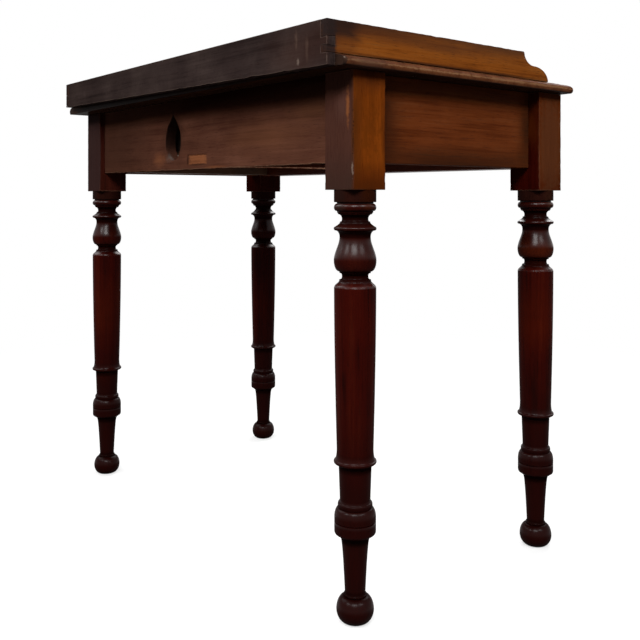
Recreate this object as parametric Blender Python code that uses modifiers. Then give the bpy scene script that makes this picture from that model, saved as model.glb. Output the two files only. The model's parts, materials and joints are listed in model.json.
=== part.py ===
"""Writing table with four turned legs, a three-sided gallery and one frieze drawer.

Metres, +Z up. The front faces -Y and the floor is z = 0. The origin is the middle of the
table's bounding box at floor level. Left and right are as seen from the front.
"""

import math

import bmesh
import bpy
from mathutils import Matrix, Vector

# Fits
FIT = 0.0003
WELD = 0.00003
DRAWER_PLAY = 0.0010

# Frame of legs and rails
LEG_SPACING_X = 0.7696
LEG_SPACING_Y = 0.3908
LEG_SIZE = 0.0575
BLOCK_HEIGHT = 0.1563
BLOCK_ARRIS = 0.0012
RAIL_HEIGHT = 0.1203
RAIL_THICKNESS = 0.0200
BACK_RAIL_RECESS = 0.0110
END_RAIL_RECESS = 0.0205
FRONT_RAIL_RECESS = 0.0030
FRONT_RAIL_DEPTH = 0.0500
FRONT_RAIL_HEIGHT = 0.0200
TENON_THICKNESS = 0.0090
TENON_LENGTH = 0.0240
TENON_SHOULDER = 0.0120
TENON_WALL = 0.0040
TWIN_TENON_SHOULDER = 0.0040
TWIN_TENON_PITCH = 0.0200
RAIL_TAIL_WIDTH = 0.0280
RAIL_TAIL_FLARE = 0.0040
RAIL_TAIL_THICKNESS = 0.0110

# Hole through the back rail
HOLE_X = 0.0770
HOLE_WIDTH = 0.0540
HOLE_RISE = 0.0160
HOLE_ROUND_HEIGHT = 0.0340
HOLE_POINT_HEIGHT = 0.0470
HOLE_STEPS = 8

# Top
TOP_SURFACE = 0.7476
TOP_THICKNESS = 0.0160
END_OVERHANG = 0.0179
FRONT_OVERHANG = 0.0108
BACK_OVERHANG = 0.0309
THUMB_WIDTH = 0.0170
NOSE_HEIGHT = 0.0060
NOSE_UNDERCUT = 0.0040
QUIRK_STEP = 0.0015
THUMB_STEPS = 5

# Gallery
GALLERY_HEIGHT = 0.0428
GALLERY_BACK_THICKNESS = 0.0140
GALLERY_SIDE_THICKNESS = 0.0120
GALLERY_OUTSET = 0.0016
GALLERY_SETBACK = 0.0473
GALLERY_DROP_LEFT = 0.0160
GALLERY_DROP_RIGHT = 0.0033
SCROLL_COVE_LENGTH = 0.0250
SCROLL_COVE_DROP = 0.0205
SCROLL_ROUND_LENGTH = 0.0355
SCROLL_STEPS = 5
GALLERY_TAIL_HEIGHT = 0.0210
GALLERY_PIN_HEIGHT = 0.0135
GALLERY_TAIL_FLARE = 0.0015

# Leg turning, from the block down to the floor: radii, then heights
COLLAR_RADIUS = 0.0280
QUIRK_RADIUS = 0.0250
COVE_RADIUS = 0.0176
COVE_FILLET_RADIUS = 0.0210
RING_RADIUS = 0.0283
VASE_NECK_RADIUS = 0.0206
VASE_RADIUS = 0.0285
VASE_BASE_RADIUS = 0.0222
NECK_RADIUS = 0.0176
SHAFT_RADIUS = 0.0282
SHAFT_FOOT_RADIUS = 0.0246
SHAFT_RING_RADIUS = 0.0287
DRUM_RADIUS = 0.0225
DRUM_FOOT_RADIUS = 0.0204
DRUM_BEAD_RADIUS = 0.0233
KNOP_RADIUS = 0.0279
ANKLE_RADIUS = 0.0204
ANKLE_WAIST_RADIUS = 0.0178
ANKLE_FOOT_RADIUS = 0.0141
FOOT_RADIUS = 0.0252
FOOT_PAD_RADIUS = 0.0120
COLLAR_HEIGHT = 0.0150
QUIRK_HEIGHT = 0.0025
BEAD_HEIGHT = 0.0095
FILLET_HEIGHT = 0.0020
COVE_FALL = 0.0084
COVE_RISE = 0.0056
RING_RISE = 0.0080
RING_FALL = 0.0120
VASE_HEIGHT = 0.0300
VASE_FALL = 0.0140
NECK_HEIGHT = 0.0060
SHOULDER_HEIGHT = 0.0160
SHAFT_FLARE_HEIGHT = 0.0150
SHAFT_RING_FALL = 0.0090
DRUM_HEIGHT = 0.0380
DRUM_BEAD_HEIGHT = 0.0140
KNOP_SHOULDER_HEIGHT = 0.0120
KNOP_BAND_HEIGHT = 0.0220
KNOP_FALL = 0.0100
ANKLE_WAIST_HEIGHT = 0.0140
ANKLE_HEIGHT = 0.0520
ANKLE_COLLAR_HEIGHT = 0.0050
FOOT_RISE = 0.0200
FOOT_FALL = 0.0170
ENTASIS_POWER = 1.6
LEG_SIDES = 18
CURVE_STEPS = 3
SHAFT_STEPS = 5
TURNING_OVERLAP = 0.0060

# Drawer
DRAWER_FRONT_THICKNESS = 0.0200
DRAWER_SIDE_THICKNESS = 0.0100
DRAWER_BACK_THICKNESS = 0.0100
DRAWER_BACK_GAP = 0.0120
DRAWER_BACK_DROP = 0.0060
DRAWER_LAP = 0.0060
DRAWER_TAIL_FLARE = 0.0020
DRAWER_TAIL_COUNT = 2
BOTTOM_THICKNESS = 0.0060
BOTTOM_RISE = 0.0090
GROOVE_DEPTH = 0.0060
SLIP_WIDTH = 0.0120
SLIP_HEIGHT = 0.0200
MUNTIN_WIDTH = 0.0440
MUNTIN_THICKNESS = 0.0140
KNOB_SPACING = 0.4000
KNOB_RADIUS = 0.0190
KNOB_FOOT_RADIUS = 0.0130
KNOB_NECK_RADIUS = 0.0090
KNOB_FOOT_HEIGHT = 0.0040
KNOB_NECK_HEIGHT = 0.0080
KNOB_HEAD_HEIGHT = 0.0160
KNOB_SPIGOT_RADIUS = 0.0070
KNOB_SIDES = 18

# What carries the drawer
RUNNER_WIDTH = 0.0220
RUNNER_THICKNESS = 0.0180
GUIDE_HEIGHT = 0.0250
STOP_SPACING = 0.3200
STOP_LENGTH = 0.0400
STOP_DEPTH = 0.0200
STOP_HEIGHT = 0.0055

# Fastenings
GLUE_BLOCK_LENGTH = 0.0500
GLUE_BLOCK_SIDE = 0.0180
GLUE_BLOCK_PITCH = 0.1600
GLUE_BLOCK_COUNT = 4
SCREW_LENGTH = 0.0300
SCREW_POINT = 0.0021
SCREW_RADIUS = 0.0021
SCREW_HEAD_RADIUS = 0.0044
SCREW_HEAD_HEIGHT = 0.0026
SCREW_SIDES = 10
FRONT_SCREW_PITCH = 0.2400
KICKER_SCREW_PITCH = 0.2000
GALLERY_SCREW_PITCH = 0.2200
NAIL_LENGTH = 0.0340
NAIL_POINT = 0.0020
NAIL_RADIUS = 0.0010
NAIL_HEAD_RADIUS = 0.0020
NAIL_HEAD_HEIGHT = 0.0012
NAIL_PITCH = 0.2200
NAIL_COUNT = 4
CUT_MARGIN = 0.0050

# Heights worked out from the sizes above
TOP_UNDERSIDE = TOP_SURFACE - TOP_THICKNESS
FRAME_HEAD = TOP_UNDERSIDE - FIT
RAIL_FOOT = FRAME_HEAD - RAIL_HEIGHT
BLOCK_FOOT = FRAME_HEAD - BLOCK_HEIGHT
DRAWER_RAIL_HEAD = RAIL_FOOT + FRONT_RAIL_HEIGHT
TOP_RAIL_FOOT = FRAME_HEAD - FRONT_RAIL_HEIGHT
DRAWER_LOW = DRAWER_RAIL_HEAD + FIT
DRAWER_HIGH = TOP_RAIL_FOOT - DRAWER_PLAY
BOTTOM_LOW = DRAWER_LOW + BOTTOM_RISE
BOTTOM_HIGH = BOTTOM_LOW + BOTTOM_THICKNESS
GALLERY_HIGH = TOP_SURFACE + GALLERY_HEIGHT
GALLERY_LOW = TOP_SURFACE + FIT

# Places along X and Y, measured from the middle of the four legs
LEG_X = LEG_SPACING_X / 2
LEG_Y = LEG_SPACING_Y / 2
LEG_OUTER_X = LEG_X + LEG_SIZE / 2
LEG_INNER_X = LEG_X - LEG_SIZE / 2
LEG_OUTER_Y = LEG_Y + LEG_SIZE / 2
LEG_INNER_Y = LEG_Y - LEG_SIZE / 2
END_RAIL_OUTER = LEG_OUTER_X - END_RAIL_RECESS
END_RAIL_INNER = END_RAIL_OUTER - RAIL_THICKNESS
END_RAIL_MIDDLE = (END_RAIL_OUTER + END_RAIL_INNER) / 2
BACK_RAIL_OUTER = LEG_OUTER_Y - BACK_RAIL_RECESS
BACK_RAIL_INNER = BACK_RAIL_OUTER - RAIL_THICKNESS
BACK_RAIL_MIDDLE = (BACK_RAIL_OUTER + BACK_RAIL_INNER) / 2
FRONT_FACE = -LEG_OUTER_Y + FRONT_RAIL_RECESS
FRONT_RAIL_BACK = FRONT_FACE + FRONT_RAIL_DEPTH
END_TENON_LENGTH = BACK_RAIL_MIDDLE - TENON_THICKNESS / 2 - TENON_WALL - LEG_INNER_Y
FRONT_TENON_LENGTH = END_RAIL_MIDDLE - TENON_THICKNESS / 2 - TENON_WALL - LEG_INNER_X
TOP_END = LEG_OUTER_X + END_OVERHANG
TOP_FRONT = -LEG_OUTER_Y - FRONT_OVERHANG
TOP_BACK = LEG_OUTER_Y + BACK_OVERHANG
GALLERY_END = LEG_OUTER_X + GALLERY_OUTSET
GALLERY_SIDE_MIDDLE = GALLERY_END - GALLERY_SIDE_THICKNESS / 2
GALLERY_FRONT = TOP_FRONT + GALLERY_SETBACK
GALLERY_BACK_INNER = TOP_BACK + FIT
GALLERY_BACK_OUTER = GALLERY_BACK_INNER + GALLERY_BACK_THICKNESS
DRAWER_SIDE_OUTER = LEG_INNER_X - DRAWER_PLAY
DRAWER_SIDE_INNER = DRAWER_SIDE_OUTER - DRAWER_SIDE_THICKNESS
DRAWER_FRONT_INNER = FRONT_FACE + DRAWER_FRONT_THICKNESS
DRAWER_REAR = BACK_RAIL_INNER - DRAWER_BACK_GAP
DRAWER_BACK_INNER = DRAWER_REAR - DRAWER_BACK_THICKNESS
SLIP_OUTER = DRAWER_SIDE_INNER - FIT
SLIP_INNER = SLIP_OUTER - SLIP_WIDTH
RUNNER_INNER = LEG_INNER_X - RUNNER_WIDTH
BETWEEN_LEGS_FRONT = max(-LEG_INNER_Y, FRONT_RAIL_BACK) + FIT
BETWEEN_LEGS_BACK = min(LEG_INNER_Y, BACK_RAIL_INNER) - FIT
KNOB_REACH = KNOB_FOOT_HEIGHT + KNOB_NECK_HEIGHT + KNOB_HEAD_HEIGHT
MIDDLE_Y = -(GALLERY_BACK_OUTER + min(TOP_FRONT, FRONT_FACE - KNOB_REACH)) / 2

# Directions that a flat outline (u, v) with thickness along w can lie in
PLAN = Matrix.Identity(4)
ELEVATION = Matrix.Rotation(math.radians(90), 4, "X")
SECTION = Matrix(((0, 0, 1, 0), (1, 0, 0, 0), (0, 1, 0, 0), (0, 0, 0, 1)))
FACING_FRONT = (math.radians(90), 0, 0)

SIDES = (("left", -1), ("right", 1))

# Finishes: colour, roughness, metallic
FINISHES = {
    "polished_mahogany": ((0.105, 0.030, 0.016), 0.28, 0.0),
    "end_mahogany": ((0.200, 0.072, 0.030), 0.42, 0.0),
    "back_mahogany": ((0.090, 0.048, 0.030), 0.60, 0.0),
    "dark_board": ((0.030, 0.020, 0.016), 0.55, 0.0),
    "lining_pine": ((0.420, 0.270, 0.140), 0.70, 0.0),
    "iron": ((0.130, 0.115, 0.105), 0.50, 1.0),
}


class Workshop:
    """Collections, materials and parent empties that every piece is made with."""

    def __init__(self):
        self.parts = self.new_collection("Writing table")
        self.cutters = self.new_collection("Writing table cutters")
        self.materials = {name: self.new_material(name, *look) for name, look in FINISHES.items()}
        self.table = self.empty("table_frame", (0, MIDDLE_Y, 0), None)
        self.drawer = self.empty("drawer_slide", (0, FRONT_FACE, DRAWER_LOW), self.table)

    @staticmethod
    def new_collection(name):
        """A collection linked to the scene."""
        collection = bpy.data.collections.new(name)
        bpy.context.scene.collection.children.link(collection)
        return collection

    @staticmethod
    def new_material(name, colour, roughness, metallic):
        """A Principled material of one colour."""
        material = bpy.data.materials.new(name)
        material.use_nodes = True
        shader = material.node_tree.nodes["Principled BSDF"]
        shader.inputs["Base Color"].default_value = (*colour, 1.0)
        shader.inputs["Roughness"].default_value = roughness
        shader.inputs["Metallic"].default_value = metallic
        return material

    def empty(self, name, location, parent):
        """An empty that pieces hang from."""
        obj = bpy.data.objects.new(name, None)
        obj.location = location
        obj.parent = parent
        self.parts.objects.link(obj)
        return obj

    def piece(self, name, mesh, finish, location=(0, 0, 0), rotation=(0, 0, 0), moving=False):
        """One sub-part, placed in the legs' frame and hung from the table or the drawer."""
        if not mesh.materials:
            mesh.materials.append(self.materials[finish])
        obj = bpy.data.objects.new(name, mesh)
        obj.location = location
        obj.rotation_euler = rotation
        obj.parent = self.drawer if moving else self.table
        if moving:
            obj.matrix_parent_inverse = Matrix.Translation(-Vector(self.drawer.location))
        self.parts.objects.link(obj)
        return obj

    def tool(self, name, mesh, location=(0, 0, 0), rotation=(0, 0, 0)):
        """A hidden shape that other pieces are cut by or joined with."""
        obj = bpy.data.objects.new(name, mesh)
        obj.location = location
        obj.rotation_euler = rotation
        obj.parent = self.table
        obj.hide_render = True
        obj.display_type = "WIRE"
        self.cutters.objects.link(obj)
        return obj

    def box_piece(self, name, low, high, finish, moving=False):
        """A square-edged board between two corners."""
        mesh, middle = box(name, low, high)
        return self.piece(name, mesh, finish, location=middle, moving=moving)

    def box_tool(self, name, low, high, grow=0.0):
        """A box-shaped cutter between two corners, larger by grow on every side."""
        grown = Vector((grow, grow, grow))
        mesh, middle = box(name, Vector(low) - grown, Vector(high) + grown)
        return self.tool(name, mesh, location=middle)


def box(name, low, high):
    """A box mesh about its own middle, and that middle."""
    low, high = Vector(low), Vector(high)
    mesh = bpy.data.meshes.new(name)
    solid = bmesh.new()
    bmesh.ops.create_cube(solid, size=1.0, matrix=Matrix.Diagonal((*(high - low), 1.0)))
    solid.to_mesh(mesh)
    solid.free()
    return mesh, (low + high) / 2


def corners_only(outline):
    """A flat outline without points that repeat or that lie on a straight run."""
    lasts = outline[-1:] + outline[:-1]
    kept = [point for point, last in zip(outline, lasts) if math.dist(point, last) > WELD]
    corners = []
    for last, here, after in zip(kept[-1:] + kept[:-1], kept, kept[1:] + kept[:1]):
        run = Vector(after) - Vector(last)
        offset = Vector(here) - Vector(last)
        if abs(run.cross(offset)) > WELD * run.length:
            corners.append(here)
    return corners


def plate(name, outline, thickness, direction):
    """A flat outline given thickness, as a mesh that lies in the given direction."""
    outline = corners_only(outline)
    curve = bpy.data.curves.new(name, "CURVE")
    curve.dimensions = "2D"
    curve.fill_mode = "BOTH"
    curve.extrude = thickness / 2
    spline = curve.splines.new("POLY")
    spline.points.add(len(outline) - 1)
    for point, (u, v) in zip(spline.points, outline):
        point.co = (u, v, 0, 1)
    spline.use_cyclic_u = True
    drawn = bpy.data.objects.new(name, curve)
    bpy.context.scene.collection.objects.link(drawn)
    evaluated = drawn.evaluated_get(bpy.context.evaluated_depsgraph_get())
    mesh = bpy.data.meshes.new_from_object(evaluated)
    bpy.data.objects.remove(drawn, do_unlink=True)
    solid = bmesh.new()
    solid.from_mesh(mesh)
    bmesh.ops.remove_doubles(solid, verts=solid.verts, dist=WELD)
    bmesh.ops.recalc_face_normals(solid, faces=solid.faces)
    solid.to_mesh(mesh)
    solid.free()
    mesh.transform(direction)
    return mesh


def profile_mesh(name, profile):
    """An open chain of edges through (radius, height) points, for turning about Z."""
    mesh = bpy.data.meshes.new(name)
    chain = bmesh.new()
    points = [chain.verts.new((radius, 0, height)) for radius, height in profile]
    for start, end in zip(points, points[1:]):
        chain.edges.new((start, end))
    chain.to_mesh(mesh)
    chain.free()
    return mesh


def turn(obj, sides):
    """Turn the object's profile about its Z axis."""
    screw = obj.modifiers.new("Turning", "SCREW")
    screw.steps = sides
    screw.render_steps = sides
    screw.use_merge_vertices = True
    screw.merge_threshold = WELD
    screw.use_smooth_shade = True


def soften(obj, width):
    """Take the sharpness off an object's edges."""
    bevel = obj.modifiers.new("Arris", "BEVEL")
    bevel.width = width
    bevel.segments = 1


def combine(obj, tool, operation):
    """Join or cut an object with a hidden shape."""
    boolean = obj.modifiers.new(tool.name, "BOOLEAN")
    boolean.operation = operation
    boolean.object = tool
    boolean.solver = "EXACT"


def join(obj, tool):
    """Add a hidden shape to an object."""
    combine(obj, tool, "UNION")


def cut(obj, tool):
    """Take a hidden shape out of an object."""
    combine(obj, tool, "DIFFERENCE")


class Profile:
    """Outline of a turning that grows downwards from a first (radius, height) point."""

    def __init__(self, radius, height):
        self.points = [(radius, height)]

    def step(self, radius):
        """A square shoulder out or in to a radius."""
        self.points.append((radius, self.points[-1][1]))

    def line(self, radius, drop):
        """A straight stretch down to a radius."""
        self.points.append((radius, self.points[-1][1] - drop))

    def quarter(self, radius, drop, hollow):
        """A quarter of an ellipse down to a radius, hollow or round."""
        start, height = self.points[-1]
        radius_first = (radius < start) == hollow
        for step in range(1, CURVE_STEPS + 1):
            angle = math.pi / 2 * step / CURVE_STEPS
            quick, slow = math.sin(angle), 1 - math.cos(angle)
            across, down = (quick, slow) if radius_first else (slow, quick)
            self.points.append((start + (radius - start) * across, height - drop * down))

    def round(self, radius, drop):
        """A convex quarter."""
        self.quarter(radius, drop, hollow=False)

    def hollow(self, radius, drop):
        """A concave quarter."""
        self.quarter(radius, drop, hollow=True)

    def ogee(self, radius, drop):
        """An S-shaped stretch, upright at both ends."""
        start, height = self.points[-1]
        for step in range(1, 2 * CURVE_STEPS):
            part = step / (2 * CURVE_STEPS - 1)
            blend = part * part * (3 - 2 * part)
            self.points.append((start + (radius - start) * blend, height - drop * part))

    def entasis(self, radius, drop):
        """A long taper that swells a little."""
        start, height = self.points[-1]
        for step in range(1, SHAFT_STEPS + 1):
            part = step / SHAFT_STEPS
            taper = (start - radius) * part**ENTASIS_POWER
            self.points.append((start - taper, height - drop * part))


def leg_profile():
    """Turned outline of a leg, from inside its block down to the floor."""
    lower_members = (
        SHAFT_FLARE_HEIGHT + SHAFT_RING_FALL + DRUM_HEIGHT + DRUM_BEAD_HEIGHT
        + KNOP_SHOULDER_HEIGHT + KNOP_BAND_HEIGHT + KNOP_FALL + ANKLE_WAIST_HEIGHT
        + ANKLE_HEIGHT + ANKLE_COLLAR_HEIGHT + FOOT_RISE + FOOT_FALL
    )
    upper_members = (
        COLLAR_HEIGHT + QUIRK_HEIGHT + BEAD_HEIGHT + FILLET_HEIGHT + COVE_FALL + COVE_RISE
        + RING_RISE + RING_FALL + VASE_HEIGHT + VASE_FALL + NECK_HEIGHT + SHOULDER_HEIGHT
    )
    leg = Profile(0, BLOCK_FOOT + TURNING_OVERLAP)
    leg.step(COLLAR_RADIUS)
    leg.line(COLLAR_RADIUS, TURNING_OVERLAP + COLLAR_HEIGHT)
    leg.line(QUIRK_RADIUS, QUIRK_HEIGHT)
    leg.round(COLLAR_RADIUS, BEAD_HEIGHT / 2)
    leg.round(QUIRK_RADIUS, BEAD_HEIGHT / 2)
    leg.line(QUIRK_RADIUS, FILLET_HEIGHT)
    leg.hollow(COVE_RADIUS, COVE_FALL)
    leg.hollow(COVE_FILLET_RADIUS, COVE_RISE)
    leg.line(RING_RADIUS, RING_RISE)
    leg.hollow(VASE_NECK_RADIUS, RING_FALL)
    leg.ogee(VASE_RADIUS, VASE_HEIGHT)
    leg.round(VASE_BASE_RADIUS, VASE_FALL)
    leg.hollow(NECK_RADIUS, NECK_HEIGHT)
    leg.ogee(SHAFT_RADIUS, SHOULDER_HEIGHT)
    leg.entasis(SHAFT_FOOT_RADIUS, BLOCK_FOOT - upper_members - lower_members)
    leg.hollow(SHAFT_RING_RADIUS, SHAFT_FLARE_HEIGHT)
    leg.round(DRUM_RADIUS, SHAFT_RING_FALL)
    leg.line(DRUM_FOOT_RADIUS, DRUM_HEIGHT)
    leg.round(DRUM_BEAD_RADIUS, DRUM_BEAD_HEIGHT)
    leg.round(KNOP_RADIUS, KNOP_SHOULDER_HEIGHT)
    leg.line(KNOP_RADIUS, KNOP_BAND_HEIGHT)
    leg.round(ANKLE_RADIUS, KNOP_FALL)
    leg.hollow(ANKLE_WAIST_RADIUS, ANKLE_WAIST_HEIGHT)
    leg.line(ANKLE_FOOT_RADIUS, ANKLE_HEIGHT)
    leg.line(ANKLE_FOOT_RADIUS, ANKLE_COLLAR_HEIGHT)
    leg.round(FOOT_RADIUS, FOOT_RISE)
    leg.round(FOOT_PAD_RADIUS, FOOT_FALL)
    leg.step(0)
    return leg.points


def knob_profile():
    """Turned outline of a knob along its own axis, with the drawer's face at height 0."""
    knob = Profile(0, KNOB_REACH)
    knob.round(KNOB_RADIUS, KNOB_HEAD_HEIGHT / 2)
    knob.round(KNOB_NECK_RADIUS, KNOB_HEAD_HEIGHT / 2)
    knob.hollow(KNOB_FOOT_RADIUS, KNOB_NECK_HEIGHT)
    knob.line(KNOB_FOOT_RADIUS, KNOB_FOOT_HEIGHT - FIT)
    knob.step(KNOB_SPIGOT_RADIUS)
    knob.line(KNOB_SPIGOT_RADIUS, DRAWER_FRONT_THICKNESS + FIT)
    knob.step(0)
    return knob.points


def screw_profile(grow=0.0, below=0.0):
    """A countersunk wood screw that points up from its head at height 0."""
    screw = Profile(0, SCREW_LENGTH + grow)
    screw.line(SCREW_RADIUS + grow, SCREW_POINT)
    screw.line(SCREW_RADIUS + grow, SCREW_LENGTH - SCREW_POINT - SCREW_HEAD_HEIGHT)
    slope = (SCREW_HEAD_RADIUS - SCREW_RADIUS) / SCREW_HEAD_HEIGHT
    head_height = SCREW_HEAD_HEIGHT + grow + below
    screw.line(SCREW_RADIUS + grow + slope * head_height, head_height)
    screw.step(0)
    return screw.points


def nail_profile(grow=0.0, below=0.0):
    """A nail that points up from its head at height 0."""
    nail = Profile(0, NAIL_LENGTH + grow)
    nail.line(NAIL_RADIUS + grow, NAIL_POINT)
    nail.line(NAIL_RADIUS + grow, NAIL_LENGTH - NAIL_POINT - NAIL_HEAD_HEIGHT)
    nail.step(NAIL_HEAD_RADIUS + grow)
    nail.line(NAIL_HEAD_RADIUS + grow, NAIL_HEAD_HEIGHT + grow + below)
    nail.step(0)
    return nail.points


def dovetails(low, high, count, flare):
    """Root and tip edges of evenly spaced dovetails: (root low, tip low, tip high, root high)."""
    pitch = (high - low) / count
    tails = []
    for index in range(count):
        middle = low + pitch * (index + 0.5)
        root, tip = pitch / 4 - flare / 2, pitch / 4 + flare / 2
        tails.append((middle - root, middle - tip, middle + tip, middle + root))
    return tails


def tailed_edge(tails, root, tip):
    """Outline points up a board's end that is cut into dovetails."""
    points = []
    for root_low, tip_low, tip_high, root_high in tails:
        points += [(root, root_low), (tip, tip_low), (tip, tip_high), (root, root_high)]
    return points


def sockets(shop, name, tails, root, tip, beyond, faces):
    """Cutters that fit a board's dovetails and reach beyond their tips.

    The two faces are the places along X between which the cutters run.
    """
    toward = math.copysign(1, tip - root)
    start, end = root - toward * CUT_MARGIN, tip + toward * beyond
    made = []
    for index, (root_low, tip_low, tip_high, root_high) in enumerate(tails, start=1):
        slope = (root_low - tip_low) / abs(tip - root)
        narrowing, widening = CUT_MARGIN * slope - FIT, beyond * slope + FIT
        outline = [
            (start, root_low + narrowing),
            (end, tip_low - widening),
            (end, tip_high + widening),
            (start, root_high - narrowing),
        ]
        mesh = plate(f"{name}_{index}", outline, abs(faces[1] - faces[0]), SECTION)
        made.append(shop.tool(f"{name}_{index}", mesh, location=(sum(faces) / 2, 0, 0)))
    return made


def build_rails(shop):
    """The five rails: returns the legs' mortise cutters by row and end, and the top rail."""
    tenon_low = RAIL_FOOT + TENON_SHOULDER
    tenon_high = FRAME_HEAD - TENON_SHOULDER
    inside_x = LEG_INNER_X - FIT
    inside_y = LEG_INNER_Y - FIT
    mortises = {"back": [], "front": [], "left": [], "right": []}

    back = shop.box_piece(
        "back_rail",
        (-inside_x, BACK_RAIL_INNER, RAIL_FOOT),
        (inside_x, BACK_RAIL_OUTER, FRAME_HEAD),
        "back_mahogany",
    )
    reach = LEG_INNER_X + TENON_LENGTH
    low = (-reach, BACK_RAIL_MIDDLE - TENON_THICKNESS / 2, tenon_low)
    high = (reach, BACK_RAIL_MIDDLE + TENON_THICKNESS / 2, tenon_high)
    join(back, shop.box_tool("back_rail_tenons", low, high))
    cut(back, hole_tool(shop))
    mortises["back"].append(shop.box_tool("back_rail_mortises", low, high, FIT))

    for side, sign in SIDES:
        name = f"end_rail_{side}"
        faces = sorted((sign * END_RAIL_INNER, sign * END_RAIL_OUTER))
        rail = shop.box_piece(
            name, (faces[0], -inside_y, RAIL_FOOT), (faces[1], inside_y, FRAME_HEAD), "end_mahogany"
        )
        reach = LEG_INNER_Y + END_TENON_LENGTH
        low = (sign * END_RAIL_MIDDLE - TENON_THICKNESS / 2, -reach, tenon_low)
        high = (sign * END_RAIL_MIDDLE + TENON_THICKNESS / 2, reach, tenon_high)
        join(rail, shop.box_tool(f"{name}_tenons", low, high))
        mortises[side].append(shop.box_tool(f"{name}_mortises", low, high, FIT))

    bottom = shop.box_piece(
        "front_bottom_rail",
        (-inside_x, FRONT_FACE, RAIL_FOOT),
        (inside_x, FRONT_RAIL_BACK, DRAWER_RAIL_HEAD),
        "polished_mahogany",
    )
    reach = LEG_INNER_X + FRONT_TENON_LENGTH
    for index, row in enumerate((-1, 1), start=1):
        middle = FRONT_FACE + FRONT_RAIL_DEPTH / 2 + row * TWIN_TENON_PITCH / 2
        low = (-reach, middle - TENON_THICKNESS / 2, RAIL_FOOT + TWIN_TENON_SHOULDER)
        high = (reach, middle + TENON_THICKNESS / 2, DRAWER_RAIL_HEAD - TWIN_TENON_SHOULDER)
        join(bottom, shop.box_tool(f"front_bottom_rail_tenons_{index}", low, high))
        mortises["front"].append(
            shop.box_tool(f"front_bottom_rail_mortises_{index}", low, high, FIT)
        )

    top = shop.box_piece(
        "front_top_rail",
        (-inside_x, FRONT_FACE, TOP_RAIL_FOOT),
        (inside_x, FRONT_RAIL_BACK, FRAME_HEAD),
        "polished_mahogany",
    )
    join(top, rail_tail_tool(shop, "front_top_rail_tails", 0.0, 0.0))
    mortises["front"].append(rail_tail_tool(shop, "front_top_rail_sockets", FIT, CUT_MARGIN))
    return mortises, top


def rail_tail_tool(shop, name, grow, above):
    """The flared tails at both ends of the front top rail, as one flat strip."""
    middle = FRONT_FACE + FRONT_RAIL_DEPTH / 2
    root, tip = LEG_INNER_X, LEG_INNER_X + FRONT_TENON_LENGTH + grow
    narrow = RAIL_TAIL_WIDTH / 2 + grow
    wide = narrow + RAIL_TAIL_FLARE
    outline = [
        (-tip, middle - wide), (-root, middle - narrow), (root, middle - narrow),
        (tip, middle - wide), (tip, middle + wide), (root, middle + narrow),
        (-root, middle + narrow), (-tip, middle + wide),
    ]
    low = FRAME_HEAD - FIT - RAIL_TAIL_THICKNESS - grow
    high = FRAME_HEAD - FIT + above
    mesh = plate(name, outline, high - low, PLAN)
    return shop.tool(name, mesh, location=(0, 0, (low + high) / 2))


def hole_tool(shop):
    """The pointed egg-shaped hole through the back rail."""
    widest = RAIL_FOOT + HOLE_RISE + HOLE_ROUND_HEIGHT
    half = HOLE_WIDTH / 2
    lower, upper = [], []
    for step in range(HOLE_STEPS):
        angle = math.pi * (1 + step / HOLE_STEPS)
        lower.append((half * math.cos(angle), widest + HOLE_ROUND_HEIGHT * math.sin(angle)))
    for step in range(2 * HOLE_STEPS + 1):
        across = 1 - step / HOLE_STEPS
        rise = HOLE_POINT_HEIGHT * math.sqrt(1 - abs(across))
        upper.append((half * across, widest + rise))
    outline = [(HOLE_X + u, v) for u, v in lower + upper[:-1]]
    mesh = plate("back_rail_hole", outline, RAIL_THICKNESS + 2 * CUT_MARGIN, ELEVATION)
    return shop.tool("back_rail_hole", mesh, location=(0, BACK_RAIL_MIDDLE, 0))


def build_legs(shop, mortises):
    """Four legs, each a square block over a turning, mortised for the rails it meets."""
    turned = profile_mesh("leg_turning", leg_profile())
    half = LEG_SIZE / 2
    for row, along in (("back", 1), ("front", -1)):
        for side, sign in SIDES:
            name = f"leg_{row}_{side}"
            mesh, middle = box(name, (-half, -half, BLOCK_FOOT), (half, half, FRAME_HEAD))
            mesh.transform(Matrix.Translation(middle))
            place = (sign * LEG_X, along * LEG_Y, 0)
            leg = shop.piece(name, mesh, "polished_mahogany", location=place)
            soften(leg, BLOCK_ARRIS)
            turning = shop.tool(f"{name}_turning", turned, location=place)
            turn(turning, LEG_SIDES)
            join(leg, turning)
            for tool in mortises[row] + mortises[side]:
                cut(leg, tool)


def thumb_profile():
    """Edge of the top from its underside up: (inset from the nose, height)."""
    points = []
    for step in range(THUMB_STEPS):
        angle = math.pi / 2 * step / THUMB_STEPS
        points.append((NOSE_UNDERCUT * (1 - math.sin(angle)), NOSE_HEIGHT * (1 - math.cos(angle))))
    rise = TOP_THICKNESS - NOSE_HEIGHT - QUIRK_STEP
    for step in range(THUMB_STEPS + 1):
        angle = math.pi / 2 * step / THUMB_STEPS
        points.append((THUMB_WIDTH * (1 - math.cos(angle)), NOSE_HEIGHT + rise * math.sin(angle)))
    points.append((THUMB_WIDTH, TOP_THICKNESS))
    return points


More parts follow.
